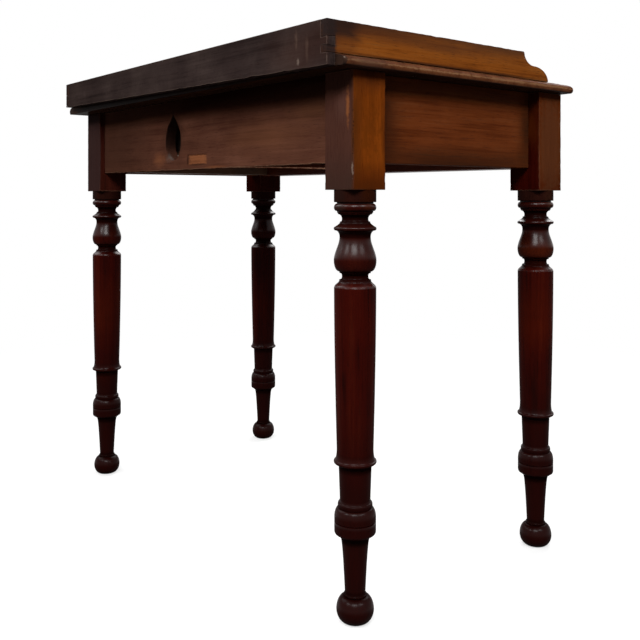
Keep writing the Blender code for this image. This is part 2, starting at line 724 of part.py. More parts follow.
def build_top(shop):
    """The top: one board, moulded on its ends and front, as a loft through its outlines."""
    mesh = bpy.data.meshes.new("table_top")
    board = bmesh.new()
    rings = []
    for inset, height in thumb_profile():
        end, front = TOP_END - inset, TOP_FRONT + inset
        corners = ((-end, TOP_BACK), (-end, front), (end, front), (end, TOP_BACK))
        rings.append([board.verts.new((x, y, height)) for x, y in corners])
    board.faces.new(rings[0])
    board.faces.new(rings[-1])
    for lower, upper in zip(rings, rings[1:]):
        for near, far in ((0, 1), (1, 2), (2, 3), (3, 0)):
            board.faces.new((lower[near], lower[far], upper[far], upper[near]))
    bmesh.ops.recalc_face_normals(board, faces=board.faces)
    board.to_mesh(mesh)
    board.free()
    return shop.piece("table_top", mesh, "polished_mahogany", location=(0, 0, TOP_UNDERSIDE))


def gallery_back_low(x):
    """Height of the back board's slanting lower edge at a place along X."""
    part = (x + GALLERY_END) / (2 * GALLERY_END)
    return TOP_SURFACE - GALLERY_DROP_LEFT - (GALLERY_DROP_RIGHT - GALLERY_DROP_LEFT) * part


def scroll():
    """Ogee front end of a gallery side, from its top edge down to its foot."""
    start = GALLERY_FRONT + SCROLL_COVE_LENGTH + SCROLL_ROUND_LENGTH
    round_drop = GALLERY_HEIGHT - FIT - SCROLL_COVE_DROP
    cove, swell = [], []
    for step in range(SCROLL_STEPS):
        angle = math.pi / 2 * step / SCROLL_STEPS
        cove.append((
            start - SCROLL_COVE_LENGTH * (1 - math.cos(angle)),
            GALLERY_HIGH - SCROLL_COVE_DROP * math.sin(angle),
        ))
    for step in range(SCROLL_STEPS + 1):
        angle = math.pi / 2 * step / SCROLL_STEPS
        swell.append((
            GALLERY_FRONT + SCROLL_ROUND_LENGTH * (1 - math.sin(angle)),
            GALLERY_LOW + round_drop * math.cos(angle),
        ))
    return cove + swell


def build_gallery(shop):
    """Back board and two scrolled side boards, dovetailed at the back corners."""
    outline = [
        (-GALLERY_END, gallery_back_low(-GALLERY_END)),
        (GALLERY_END, gallery_back_low(GALLERY_END)),
        (GALLERY_END, GALLERY_HIGH),
        (-GALLERY_END, GALLERY_HIGH),
    ]
    mesh = plate("gallery_back", outline, GALLERY_BACK_THICKNESS, ELEVATION)
    middle = (GALLERY_BACK_INNER + GALLERY_BACK_OUTER) / 2
    back = shop.piece("gallery_back", mesh, "dark_board", location=(0, middle, 0))

    pin_high = GALLERY_HIGH - GALLERY_TAIL_HEIGHT
    pin_low = pin_high - GALLERY_PIN_HEIGHT
    root, tip = GALLERY_BACK_INNER - FIT, GALLERY_BACK_OUTER
    rear_edge = [
        (tip, GALLERY_LOW),
        (tip, pin_low + GALLERY_TAIL_FLARE),
        (root, pin_low),
        (root, pin_high),
        (tip, pin_high - GALLERY_TAIL_FLARE),
        (tip, GALLERY_HIGH),
    ]
    lower_socket = [
        (root - CUT_MARGIN, GALLERY_LOW - FIT),
        (tip + CUT_MARGIN, GALLERY_LOW - FIT),
        (tip + CUT_MARGIN, pin_low + GALLERY_TAIL_FLARE + FIT),
        (tip, pin_low + GALLERY_TAIL_FLARE + FIT),
        (root, pin_low + FIT),
        (root - CUT_MARGIN, pin_low + FIT),
    ]
    upper_socket = [
        (root - CUT_MARGIN, pin_high - FIT),
        (root, pin_high - FIT),
        (tip, pin_high - GALLERY_TAIL_FLARE - FIT),
        (tip + CUT_MARGIN, pin_high - GALLERY_TAIL_FLARE - FIT),
        (tip + CUT_MARGIN, GALLERY_HIGH + CUT_MARGIN),
        (root - CUT_MARGIN, GALLERY_HIGH + CUT_MARGIN),
    ]
    boards = {}
    for side, sign in SIDES:
        name = f"gallery_side_{side}"
        mesh = plate(name, rear_edge + scroll(), GALLERY_SIDE_THICKNESS, SECTION)
        place = (sign * GALLERY_SIDE_MIDDLE, 0, 0)
        boards[side] = shop.piece(name, mesh, "end_mahogany", location=place)
        width = GALLERY_SIDE_THICKNESS + FIT + CUT_MARGIN
        inner = GALLERY_END - GALLERY_SIDE_THICKNESS - FIT
        for level, socket in (("lower", lower_socket), ("upper", upper_socket)):
            label = f"{name}_{level}_socket"
            mesh = plate(label, socket, width, SECTION)
            cut(back, shop.tool(label, mesh, location=(sign * (inner + width / 2), 0, 0)))
    return back, boards


def side_strip(name, sign, thickness):
    """Plan of a runner or kicker: wide between the legs, narrow beside them."""
    front, back = FRONT_RAIL_BACK + FIT, BACK_RAIL_INNER - FIT
    inner, beside, outer = RUNNER_INNER, LEG_INNER_X - FIT, END_RAIL_INNER - FIT
    outline = [
        (inner, front), (beside, front), (beside, BETWEEN_LEGS_FRONT),
        (outer, BETWEEN_LEGS_FRONT), (outer, BETWEEN_LEGS_BACK), (beside, BETWEEN_LEGS_BACK),
        (beside, back), (inner, back),
    ]
    return plate(name, [(sign * x, y) for x, y in outline], thickness, PLAN)


def build_drawer_carriers(shop):
    """Runners, guides, kickers and stops that carry the drawer and limit its way in."""
    kickers = {}
    for side, sign in SIDES:
        name = f"drawer_runner_{side}"
        runner_low = DRAWER_RAIL_HEAD - RUNNER_THICKNESS
        shop.piece(
            name,
            side_strip(name, sign, RUNNER_THICKNESS),
            "lining_pine",
            location=(0, 0, runner_low + RUNNER_THICKNESS / 2),
        )
        guide = sorted((sign * LEG_INNER_X, sign * (END_RAIL_INNER - FIT)))
        shop.box_piece(
            f"drawer_guide_{side}",
            (guide[0], BETWEEN_LEGS_FRONT, DRAWER_RAIL_HEAD + FIT),
            (guide[1], BETWEEN_LEGS_BACK, DRAWER_RAIL_HEAD + FIT + GUIDE_HEIGHT),
            "lining_pine",
        )
        name = f"drawer_kicker_{side}"
        kickers[side] = shop.piece(
            name,
            side_strip(name, sign, FRAME_HEAD - TOP_RAIL_FOOT),
            "lining_pine",
            location=(0, 0, (FRAME_HEAD + TOP_RAIL_FOOT) / 2),
        )
        middle = sign * STOP_SPACING / 2
        stop_front = DRAWER_FRONT_INNER + FIT
        shop.box_piece(
            f"drawer_stop_{side}",
            (middle - STOP_LENGTH / 2, stop_front, DRAWER_RAIL_HEAD + FIT),
            (middle + STOP_LENGTH / 2, stop_front + STOP_DEPTH, DRAWER_RAIL_HEAD + FIT + STOP_HEIGHT),
            "lining_pine",
        )
    return kickers


def build_drawer(shop):
    """The drawer: dovetailed box, panelled bottom in slips and a muntin, and two knobs."""
    front = shop.box_piece(
        "drawer_front",
        (-DRAWER_SIDE_OUTER, FRONT_FACE, DRAWER_LOW),
        (DRAWER_SIDE_OUTER, DRAWER_FRONT_INNER, DRAWER_HIGH),
        "polished_mahogany",
        moving=True,
    )
    back_low, back_high = BOTTOM_HIGH + FIT, DRAWER_HIGH - DRAWER_BACK_DROP
    back = shop.box_piece(
        "drawer_back",
        (-DRAWER_SIDE_OUTER, DRAWER_BACK_INNER, back_low),
        (DRAWER_SIDE_OUTER, DRAWER_REAR, back_high),
        "lining_pine",
        moving=True,
    )
    front_root, front_tip = DRAWER_FRONT_INNER + FIT, FRONT_FACE + DRAWER_LAP + FIT
    back_root, back_tip = DRAWER_BACK_INNER - FIT, DRAWER_REAR
    front_tails = dovetails(DRAWER_LOW, DRAWER_HIGH, DRAWER_TAIL_COUNT, DRAWER_TAIL_FLARE)
    back_tails = dovetails(back_low, back_high, DRAWER_TAIL_COUNT, DRAWER_TAIL_FLARE)
    outline = [(back_tip, DRAWER_LOW), (back_tip, back_low - FIT), (back_root, back_low - FIT)]
    outline += tailed_edge(back_tails, back_root, back_tip)
    outline += [(back_root, back_high + FIT), (back_tip, back_high + FIT), (back_tip, DRAWER_HIGH)]
    outline += [(front_root, DRAWER_HIGH)]
    outline += tailed_edge(front_tails, front_root, front_tip)[::-1]
    outline += [(front_root, DRAWER_LOW)]

    groove_low, groove_high = BOTTOM_LOW - FIT, BOTTOM_HIGH + FIT
    groove_end = SLIP_INNER + GROOVE_DEPTH
    front_groove = shop.box_tool(
        "drawer_front_groove",
        (-groove_end, DRAWER_FRONT_INNER - GROOVE_DEPTH, groove_low),
        (groove_end, DRAWER_FRONT_INNER + CUT_MARGIN, groove_high),
    )
    cut(front, front_groove)

    for side, sign in SIDES:
        name = f"drawer_side_{side}"
        middle = (DRAWER_SIDE_OUTER + DRAWER_SIDE_INNER) / 2
        mesh = plate(name, outline, DRAWER_SIDE_THICKNESS, SECTION)
        shop.piece(name, mesh, "lining_pine", location=(sign * middle, 0, 0), moving=True)
        faces = (sign * (DRAWER_SIDE_INNER - FIT), sign * (DRAWER_SIDE_OUTER + CUT_MARGIN))
        for tool in sockets(shop, f"{name}_front", front_tails, front_root, front_tip, FIT, faces):
            cut(front, tool)
        for tool in sockets(shop, f"{name}_back", back_tails, back_root, back_tip, CUT_MARGIN, faces):
            cut(back, tool)

        slip_x = sorted((sign * SLIP_INNER, sign * SLIP_OUTER))
        slip = shop.box_piece(
            f"drawer_slip_{side}",
            (slip_x[0], DRAWER_FRONT_INNER + FIT, DRAWER_LOW),
            (slip_x[1], DRAWER_BACK_INNER - FIT, DRAWER_LOW + SLIP_HEIGHT),
            "lining_pine",
            moving=True,
        )
        groove_x = sorted((sign * (SLIP_INNER - CUT_MARGIN), sign * groove_end))
        slip_groove = shop.box_tool(
            f"drawer_slip_{side}_groove",
            (groove_x[0], DRAWER_FRONT_INNER - CUT_MARGIN, groove_low),
            (groove_x[1], DRAWER_REAR + CUT_MARGIN, groove_high),
        )
        cut(slip, slip_groove)

        panel_x = sorted((sign * (MUNTIN_WIDTH / 2 - GROOVE_DEPTH + FIT), sign * (groove_end - FIT)))
        shop.box_piece(
            f"drawer_bottom_{side}",
            (panel_x[0], DRAWER_FRONT_INNER - GROOVE_DEPTH + FIT, BOTTOM_LOW),
            (panel_x[1], DRAWER_REAR, BOTTOM_HIGH),
            "lining_pine",
            moving=True,
        )

    muntin_low = BOTTOM_LOW - (MUNTIN_THICKNESS - BOTTOM_THICKNESS) / 2
    muntin = shop.box_piece(
        "drawer_muntin",
        (-MUNTIN_WIDTH / 2, DRAWER_FRONT_INNER + FIT, muntin_low),
        (MUNTIN_WIDTH / 2, DRAWER_BACK_INNER - FIT, muntin_low + MUNTIN_THICKNESS),
        "lining_pine",
        moving=True,
    )
    for side, sign in SIDES:
        groove_x = sorted((sign * (MUNTIN_WIDTH / 2 - GROOVE_DEPTH), sign * MUNTIN_WIDTH))
        muntin_groove = shop.box_tool(
            f"drawer_muntin_groove_{side}",
            (groove_x[0], DRAWER_FRONT_INNER - CUT_MARGIN, groove_low),
            (groove_x[1], DRAWER_REAR + CUT_MARGIN, groove_high),
        )
        cut(muntin, muntin_groove)
    build_knobs(shop, front)


def build_knobs(shop, front):
    """Two turned knobs whose spigots go through the drawer front."""
    middle_z = (DRAWER_LOW + DRAWER_HIGH) / 2
    for side, sign in SIDES:
        name = f"drawer_knob_{side}"
        place = (sign * KNOB_SPACING / 2, FRONT_FACE, middle_z)
        mesh = profile_mesh(name, knob_profile())
        knob = shop.piece(name, mesh, "polished_mahogany", place, FACING_FRONT, moving=True)
        turn(knob, KNOB_SIDES)
        hole = Profile(0, CUT_MARGIN)
        hole.step(KNOB_SPIGOT_RADIUS + FIT)
        hole.line(KNOB_SPIGOT_RADIUS + FIT, DRAWER_FRONT_THICKNESS + 2 * CUT_MARGIN)
        hole.step(0)
        tool = shop.tool(f"{name}_hole", profile_mesh(f"{name}_hole", hole.points), place, FACING_FRONT)
        turn(tool, KNOB_SIDES)
        cut(front, tool)


def fasten(shop, name, profile, place, rotation, through):
    """One turned fastening, and its hole in each piece that it goes through."""
    obj = shop.piece(name, profile_mesh(name, profile()), "iron", place, rotation)
    turn(obj, SCREW_SIDES)
    hole = profile_mesh(f"{name}_hole", profile(grow=FIT, below=CUT_MARGIN))
    tool = shop.tool(f"{name}_hole", hole, place, rotation)
    turn(tool, SCREW_SIDES)
    for piece in through:
        cut(piece, tool)


def build_fastenings(shop, top, front_rail, kickers, gallery_back, gallery_sides):
    """Glue blocks, screws and nails."""
    corner_y, corner_z = BACK_RAIL_INNER - FIT, FRAME_HEAD
    outline = [
        (corner_y - GLUE_BLOCK_SIDE, corner_z),
        (corner_y, corner_z - GLUE_BLOCK_SIDE),
        (corner_y, corner_z),
    ]
    block = plate("glue_block", outline, GLUE_BLOCK_LENGTH, SECTION)
    for index in range(GLUE_BLOCK_COUNT):
        x = (index - (GLUE_BLOCK_COUNT - 1) / 2) * GLUE_BLOCK_PITCH
        shop.piece(f"glue_block_{index + 1}", block, "lining_pine", location=(x, 0, 0))

    front_y = FRONT_FACE + FRONT_RAIL_DEPTH / 2
    for index in (-1, 0, 1):
        place = (index * FRONT_SCREW_PITCH, front_y, TOP_RAIL_FOOT)
        fasten(shop, f"front_rail_screw_{index + 2}", screw_profile, place, (0, 0, 0), (front_rail, top))
    for side, sign in SIDES:
        for index, along in enumerate((-1, 1), start=1):
            kicker_x = sign * (RUNNER_INNER + END_RAIL_INNER) / 2
            place = (kicker_x, along * KICKER_SCREW_PITCH / 2, TOP_RAIL_FOOT)
            name = f"kicker_screw_{side}_{index}"
            fasten(shop, name, screw_profile, place, (0, 0, 0), (kickers[side], top))
            place = (sign * GALLERY_SIDE_MIDDLE, along * GALLERY_SCREW_PITCH / 2, TOP_UNDERSIDE)
            name = f"gallery_screw_{side}_{index}"
            fasten(shop, name, screw_profile, place, (0, 0, 0), (top, gallery_sides[side]))
    for index in range(NAIL_COUNT):
        x = (index - (NAIL_COUNT - 1) / 2) * NAIL_PITCH
        z = (max(gallery_back_low(x), TOP_UNDERSIDE) + TOP_SURFACE) / 2
        place = (x, GALLERY_BACK_OUTER, z)
        fasten(shop, f"gallery_nail_{index + 1}", nail_profile, place, FACING_FRONT, (gallery_back, top))


def main():
    """Build the whole table."""
    for obj in list(bpy.data.objects):
        bpy.data.objects.remove(obj, do_unlink=True)
    shop = Workshop()
    mortises, front_rail = build_rails(shop)
    build_legs(shop, mortises)
    top = build_top(shop)
    gallery_back, gallery_sides = build_gallery(shop)
    kickers = build_drawer_carriers(shop)
    build_drawer(shop)
    build_fastenings(shop, top, front_rail, kickers, gallery_back, gallery_sides)


main()
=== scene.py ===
"""Writing table with turned legs, a low gallery and one frieze drawer, dressed for the camera.

Metres, +Z up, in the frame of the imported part: the front faces -Y and the floor is z = 0.
Every piece rides on a body of the part and stands for one CAD node, apart from the sliver that has
sprung off the back rail, which stands for none.
"""

from __future__ import annotations

import json
import logging
import math
from collections.abc import Iterable, Sequence
from dataclasses import dataclass, replace
from enum import Enum
from typing import Any

import bmesh
import bpy
import numpy as np
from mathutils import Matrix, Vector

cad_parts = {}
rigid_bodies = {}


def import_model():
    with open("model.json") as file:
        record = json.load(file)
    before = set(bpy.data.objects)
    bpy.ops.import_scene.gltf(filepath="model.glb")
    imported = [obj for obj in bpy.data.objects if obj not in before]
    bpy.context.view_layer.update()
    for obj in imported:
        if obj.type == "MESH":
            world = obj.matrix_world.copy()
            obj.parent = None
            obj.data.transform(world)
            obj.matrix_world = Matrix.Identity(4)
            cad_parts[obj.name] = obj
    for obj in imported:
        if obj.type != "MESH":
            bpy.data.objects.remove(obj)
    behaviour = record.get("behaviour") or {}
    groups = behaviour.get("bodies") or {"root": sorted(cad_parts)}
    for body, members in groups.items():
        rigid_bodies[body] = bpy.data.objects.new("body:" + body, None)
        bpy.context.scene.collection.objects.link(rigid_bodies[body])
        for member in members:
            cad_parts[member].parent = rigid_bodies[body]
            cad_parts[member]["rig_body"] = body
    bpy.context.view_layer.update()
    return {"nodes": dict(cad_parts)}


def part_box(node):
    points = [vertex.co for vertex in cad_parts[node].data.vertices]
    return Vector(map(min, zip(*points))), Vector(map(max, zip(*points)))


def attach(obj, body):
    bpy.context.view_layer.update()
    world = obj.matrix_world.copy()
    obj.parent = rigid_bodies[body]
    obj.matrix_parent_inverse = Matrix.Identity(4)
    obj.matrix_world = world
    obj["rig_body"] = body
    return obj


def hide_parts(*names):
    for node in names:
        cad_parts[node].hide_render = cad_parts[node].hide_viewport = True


LOG = logging.getLogger("writing_table")

Point = tuple[float, float, float]
Colour = tuple[float, float, float]
Tags = dict[str, np.ndarray]

TABLE = "table"
DRAWER = "drawer"
SIDES = (("left", -1), ("right", 1))

# Colours that several pieces share
RAW_WOOD = (0.160, 0.056, 0.023)
BLACKENED = (0.010, 0.006, 0.005)
DUSTY = (0.260, 0.200, 0.160)

# Waves in a ripple, points round an eased arris and the flat kept inside it
WAVES = 14
ARRIS_POINTS = 5
ARRIS_MARGIN = 0.0005

# An edge is sharp above the first angle, and faces are level below the second
SHARP = math.radians(38)
LEVEL = math.radians(0.5)


class Grain(Enum):
    """Axis that the grain of a piece runs along."""

    LENGTH = 0
    DEPTH = 1
    HEIGHT = 2

    def spread(self, across: float, along: float) -> Point:
        """One number for each axis: the second along the grain, the first on the other two."""
        return tuple(along if axis == self.value else across for axis in range(3))


class Value:
    """A number in a shader. Python's operators on it add Math nodes."""

    def __init__(self, bench: Bench, socket: bpy.types.NodeSocket) -> None:
        """Wraps an output socket of a bench's node tree."""
        self.bench = bench
        self.socket = socket

    def _maths(self, operation: str, first: Any, second: Any) -> Value:
        """One Math node on two numbers."""
        made = self.bench.node("ShaderNodeMath", {"operation": operation}, {0: first, 1: second})
        return Value(self.bench, made.outputs[0])

    def __add__(self, other: Any) -> Value:
        """Sum."""
        return self._maths("ADD", self, other)

    def __sub__(self, other: Any) -> Value:
        """Difference."""
        return self._maths("SUBTRACT", self, other)

    def __rsub__(self, other: Any) -> Value:
        """Difference from a plain number on the left."""
        return self._maths("SUBTRACT", other, self)

    def __mul__(self, other: Any) -> Value:
        """Product."""
        return self._maths("MULTIPLY", self, other)

    # A sum and a product are the same with the plain number on the left
    __radd__ = __add__
    __rmul__ = __mul__

    def most(self, other: Any) -> Value:
        """The larger of two numbers."""
        return self._maths("MAXIMUM", self, other)

    def ramp(self, low: float, high: float) -> Value:
        """Smooth rise from 0 at low to 1 at high, level outside."""
        made = self.bench.node(
            "ShaderNodeMapRange",
            {"interpolation_type": "SMOOTHSTEP"},
            {"Value": self, "From Min": low, "From Max": high},
        )
        return Value(self.bench, made.outputs[0])


class Bench:
    """Node tree of one material, or of the world."""

    def __init__(self, owner: bpy.types.Material | bpy.types.World) -> None:
        """Starts on the default nodes of a new material or world."""
        owner.use_nodes = True
        self.owner = owner
        self.tree = owner.node_tree
        self.place = self.node("ShaderNodeTexCoord").outputs["Object"]

    def node(
        self, kind: str, settings: dict[str, Any] | None = None, inputs: dict[Any, Any] | None = None
    ) -> bpy.types.Node:
        """Adds a node.

        Args:
            kind: Blender's name of the node's type.
            settings: Properties of the node, set first.
            inputs: Values or links of its sockets, by name or number.

        Returns:
            The node.
        """
        made = self.tree.nodes.new(kind)
        for name, value in (settings or {}).items():
            setattr(made, name, value)
        for key, value in (inputs or {}).items():
            self.feed(made.inputs[key], value)
        return made

    def feed(self, socket: bpy.types.NodeSocket, value: Any) -> None:
        """Links a socket to a value, or sets it to a plain number, vector or colour.

        Args:
            socket: Input of a node in this tree.
            value: What it takes.
        """
        source = value.socket if isinstance(value, Value) else value
        if isinstance(source, bpy.types.NodeSocket):
            self.tree.links.new(source, socket)
        else:
            socket.default_value = source

    def set(self, **inputs: Any) -> None:
        """Feeds the Principled shader.

        Args:
            inputs: Values or links by socket, with underscores for the spaces in their names.
        """
        shader = self.tree.nodes["Principled BSDF"]
        for name, value in inputs.items():
            self.feed(shader.inputs[name.replace("_", " ")], value)

    def vector(self, operation: str, *inputs: Any) -> bpy.types.NodeSocket:
        """The vector that a Vector Math node gives."""
        made = self.node("ShaderNodeVectorMath", {"operation": operation}, dict(enumerate(inputs)))
        return made.outputs["Vector"]

    def length(self, vector: bpy.types.NodeSocket) -> Value:
        """Length of a vector."""
        made = self.node("ShaderNodeVectorMath", {"operation": "LENGTH"}, {0: vector})
        return Value(self, made.outputs["Value"])

    def axes(self, vector: bpy.types.NodeSocket) -> list[Value]:
        """The three numbers of a vector."""
        made = self.node("ShaderNodeSeparateXYZ", {}, {0: vector})
        return [Value(self, number) for number in made.outputs]

    def lumps(self, scale: Point, **inputs: float) -> bpy.types.Node:
        """A noise node with so many lumps to a metre along each axis."""
        place = self.vector("MULTIPLY", self.place, scale)
        return self.node("ShaderNodeTexNoise", {}, {"Vector": place, "Scale": 1.0, **inputs})

    def noise(self, scale: Point | float, detail: float = 2.0, rough: float = 0.55) -> Value:
        """Soft noise from 0 to 1, its lumps to a metre given for each axis or once for all three."""
        axes = scale if isinstance(scale, tuple) else (scale,) * 3
        return Value(self, self.lumps(axes, Detail=detail, Roughness=rough).outputs[0])

    def warp(self, scale: Point, reach: Point) -> None:
        """Lets every later pattern wander by a noise of the given scale, as far as reach."""
        wander = self.lumps(scale, Detail=1.0).outputs["Color"]
        self.place = self.vector("MULTIPLY_ADD", wander, reach, self.place)

    def tag(self, name: str) -> Value:
        """An attribute of the mesh, 0 where the mesh has none of that name."""
        made = self.node("ShaderNodeAttribute", {"attribute_name": name})
        return Value(self, made.outputs["Fac"])

    def blend(self, share: Any, first: Any, second: Any) -> bpy.types.NodeSocket:
        """Mix of two colours, each a plain colour or a link."""
        ends = [(*colour, 1.0) if isinstance(colour, tuple) else colour for colour in (first, second)]
        made = self.node("ShaderNodeMix", {"data_type": "RGBA"}, {0: share, 6: ends[0], 7: ends[1]})
        return made.outputs[2]

    def bump(self, height: Value, strength: float, distance: float) -> bpy.types.NodeSocket:
        """A normal roughened by a height."""
        inputs = {"Strength": strength, "Distance": distance, "Height": height}
        return self.node("ShaderNodeBump", {}, inputs).outputs["Normal"]


@dataclass(frozen=True)
class Mark:
    """A round stain, bruise, bare spot, or patch of painted shade or light, at one place on a piece.

    Its reach is its half size on each axis. It is whole up to a share of the reach and fades over
    the next share. Specks make its edge ragged, half the reach in size where none is given.
    """

    centre: Point
    reach: Point
    colour: Colour
    strength: float = 1.0
    ragged: float = 0.5
    whole: float = 0.0
    fade: float = 1.0
    speck: float = 0.0

    def away(self, bench: Bench, offset: bpy.types.NodeSocket) -> Value:
        """Distance from the centre: the length of the offset."""
        return bench.length(offset)

    def share(self, bench: Bench) -> Value:
        """How much of the mark shows at each place.

        Formula: the distance from the mark's centre, measured in its half sizes, plus noise with
        lumps as large as a speck. The mark is whole up to one distance and fades beyond it.

        Args:
            bench: Node tree of the finish.

        Returns:
            A number from 0 to the mark's strength.
        """
        offset = bench.vector("DIVIDE", bench.vector("SUBTRACT", bench.place, self.centre), self.reach)
        lumps = tuple(1.0 / (self.speck or size / 2) for size in self.reach)
        edge = (bench.noise(lumps, detail=3.0) - 0.5) * self.ragged
        gone = (self.away(bench, offset) + edge).ramp(self.whole, self.whole + self.fade)
        return (1.0 - gone) * self.strength


class Patch(Mark):
    """A mark with square corners."""

    def away(self, bench: Bench, offset: bpy.types.NodeSocket) -> Value:
        """Distance from the centre: the largest of the offsets on the three axes."""
        along, depth, height = bench.axes(bench.vector("ABSOLUTE", offset))
        return along.most(depth).most(height)


@dataclass(frozen=True)
class Mahogany:
    """A mahogany finish: figure along the grain, pores, polish, edge wear, dirt, painted shade and marks."""

    name: str
    grain: Grain
    dark: Colour
    middle: Colour
    light: Colour
    worn: Colour
    rough: float
    polish: float
    slot: str = "polished_mahogany"
    faded: Colour = (0.150, 0.043, 0.008)
    dull: Colour = (0.075, 0.032, 0.023)
    dirt_and_shade: Colour = (0.010, 0.005, 0.004)
    gloss: float = 0.0
    shoulders: float = 0.0
    streaks: float = 0.8
    dust: float = 0.0
    marks: tuple[Mark, ...] = ()

    # Lumps to a metre across the grain and along it, then those that are the same all ways
    WANDER = (11.0, 2.0)
    RIBBON = (62.0, 2.6)
    STREAK = (260.0, 7.0)
    FIBRE = (1100.0, 26.0)
    PORE = (1500.0, 62.0)
    CLOUD = 13.0
    SCUFF = 170.0

    # How far the figure wanders, the coat of polish, and the depth of the pores
    WANDER_REACH = 0.010
    COAT_ROUGH = 0.27
    COAT_IOR = 1.25
    PORE_DEPTH = 0.00035

    def dress(self) -> bpy.types.Material:
        """Makes the material.

        Returns:
            The material, which reads the mesh attributes wear, faded, dull, dry and sheen, and the one for
            painted shade.
        """
        bench = Bench(bpy.data.materials.new(self.name))
        plain, spread = bench.place, self.grain.spread
        bench.warp(spread(*self.WANDER), spread(self.WANDER_REACH, 0.0))
        ribbon = bench.noise(spread(*self.RIBBON))
        streak = bench.noise(spread(*self.STREAK), detail=3.0)
        fibre = bench.noise(spread(*self.FIBRE))
        pores = bench.noise(spread(*self.PORE), detail=1.0).ramp(0.60, 0.74)
        bench.place = plain
        cloud = bench.noise(self.CLOUD, detail=3.0)
        scuff = bench.noise(self.SCUFF, detail=4.0, rough=0.65)
        wear, painted_shade = bench.tag("wear"), bench.tag("painted_shade")

        # Figure of the wood, bleached or dulled by light, with open pores
        figure = (ribbon - 0.5) * 0.9 + (streak - 0.5) * self.streaks + (fibre - 0.5) * 0.35
        figure = figure + (cloud - 0.5) * 0.7
        colour = bench.blend(figure.ramp(-0.34, 0.06), self.dark, self.middle)
        colour = bench.blend(figure.ramp(0.02, 0.42), colour, self.light)
        tone = figure.ramp(-0.45, 0.45) * 0.55 + 0.45
        colour = bench.blend(bench.tag("faded") * tone, colour, self.faded)
        colour = bench.blend(bench.tag("dull") * (tone * 0.5 + 0.5), colour, self.dull)
        colour = bench.blend(pores * 0.55, colour, self.dirt_and_shade)

        # Rubbed edges, marks, some of them painted shade or light, dark lines, painted shade and dust
        rubbed = (wear + (scuff - 0.5) * 1.5 + (cloud - 0.5) * 0.8).ramp(0.62, 0.98) * wear
        colour = bench.blend(rubbed * 0.8, colour, self.worn)
        for mark in self.marks:
            colour = bench.blend(mark.share(bench) * (tone * 0.6 + 0.55), colour, mark.colour)
        line = ((streak - 0.5) * 0.6 + (fibre - 0.5) * 0.6).ramp(0.02, 0.26)
        colour = bench.blend(line * 0.4, colour, self.dirt_and_shade)
        # Painted shade: darker in the hollows, creases and undersides that the shade attribute marks
        darkened = (painted_shade + (cloud - 0.5) * 0.5 * painted_shade).ramp(0.08, 0.95)
        colour = bench.blend(darkened * 0.85, colour, self.dirt_and_shade)
        if self.dust:
            settled = (cloud * 0.7 + scuff * 0.3).ramp(0.44, 0.68)
            colour = bench.blend(settled * self.dust, colour, self.worn)

        # Polish, thinner where the piece is dry, worn or in painted shade
        dry = bench.tag("dry") * 0.75 + painted_shade * 0.8 + wear * 0.2
        loss = (dry + (cloud - 0.45).ramp(0.0, 0.3) * 0.3).ramp(0.0, 1.0)
        height = fibre * 0.25 + streak * 0.2 - pores * 0.6 + scuff * 0.25
        bench.set(
            Base_Color=colour,
            Roughness=self.rough + (cloud - 0.5) * 0.16 + (scuff - 0.5) * 0.12 + loss * 0.2,
            Specular_IOR_Level=self.gloss,
            Coat_Weight=(1.0 - loss) * (bench.tag("sheen") * self.shoulders + self.polish),
            Coat_Roughness=self.COAT_ROUGH,
            Coat_IOR=self.COAT_IOR,
            Normal=bench.bump(height, 0.30, self.PORE_DEPTH),
        )
        return bench.owner


@dataclass(frozen=True)
class Pine:
    """Bare old pine: pale early wood, darker lines of late wood, dust, and painted shade at the rear."""

    name: str
    grain: Grain
    pale: Colour = (0.300, 0.165, 0.075)
    line: Colour = (0.170, 0.078, 0.030)
    dirt_and_shade: Colour = (0.070, 0.045, 0.028)
    rear_shade: tuple[float, float] = (0.140, 0.172)
    slot: str = "lining_pine"

    # Lumps to a metre across the grain and along it, then those that are the same all ways
    WANDER = (9.0, 1.5)
    RINGS = (120.0, 1.6)
    LINES = (480.0, 4.0)
    FIBRE = (1500.0, 40.0)
    CLOUD = 17.0

    # How far the figure wanders, the sheen of bare wood, and the depth of its fibres
    WANDER_REACH = 0.02
    GLOSS = 0.15
    FIBRE_DEPTH = 0.0004

    def dress(self) -> bpy.types.Material:
        """Makes the material.

        Returns:
            The material, blackened with painted shade towards the rear, between two given depths on Y.
        """
        bench = Bench(bpy.data.materials.new(self.name))
        plain, spread = bench.place, self.grain.spread
        bench.warp(spread(*self.WANDER), spread(self.WANDER_REACH, 0.0))
        rings = bench.noise(spread(*self.RINGS)).ramp(0.46, 0.62)
        lines = bench.noise(spread(*self.LINES))
        fibre = bench.noise(spread(*self.FIBRE))
        bench.place = plain
        cloud = bench.noise(self.CLOUD, detail=4.0)
        late = rings * 0.6 + (lines - 0.5) * 0.8
        colour = bench.blend(late.ramp(0.05, 0.75), self.pale, self.line)
        colour = bench.blend((fibre - 0.5).ramp(0.05, 0.3) * 0.4, colour, self.line)
        colour = bench.blend(cloud.ramp(0.42, 0.75) * 0.6, colour, self.dirt_and_shade)
        # Painted shade: blackened towards the rear, where the pine lies in the carcass's shade
        rear = bench.axes(plain)[1].ramp(*self.rear_shade)
        colour = bench.blend(rear * 0.9, colour, BLACKENED)
        bench.set(
            Base_Color=colour,
            Roughness=0.72 + (cloud - 0.5) * 0.2,
            Specular_IOR_Level=self.GLOSS,
            Normal=bench.bump(fibre * 0.5 + lines * 0.4, 0.35, self.FIBRE_DEPTH),
        )
        return bench.owner


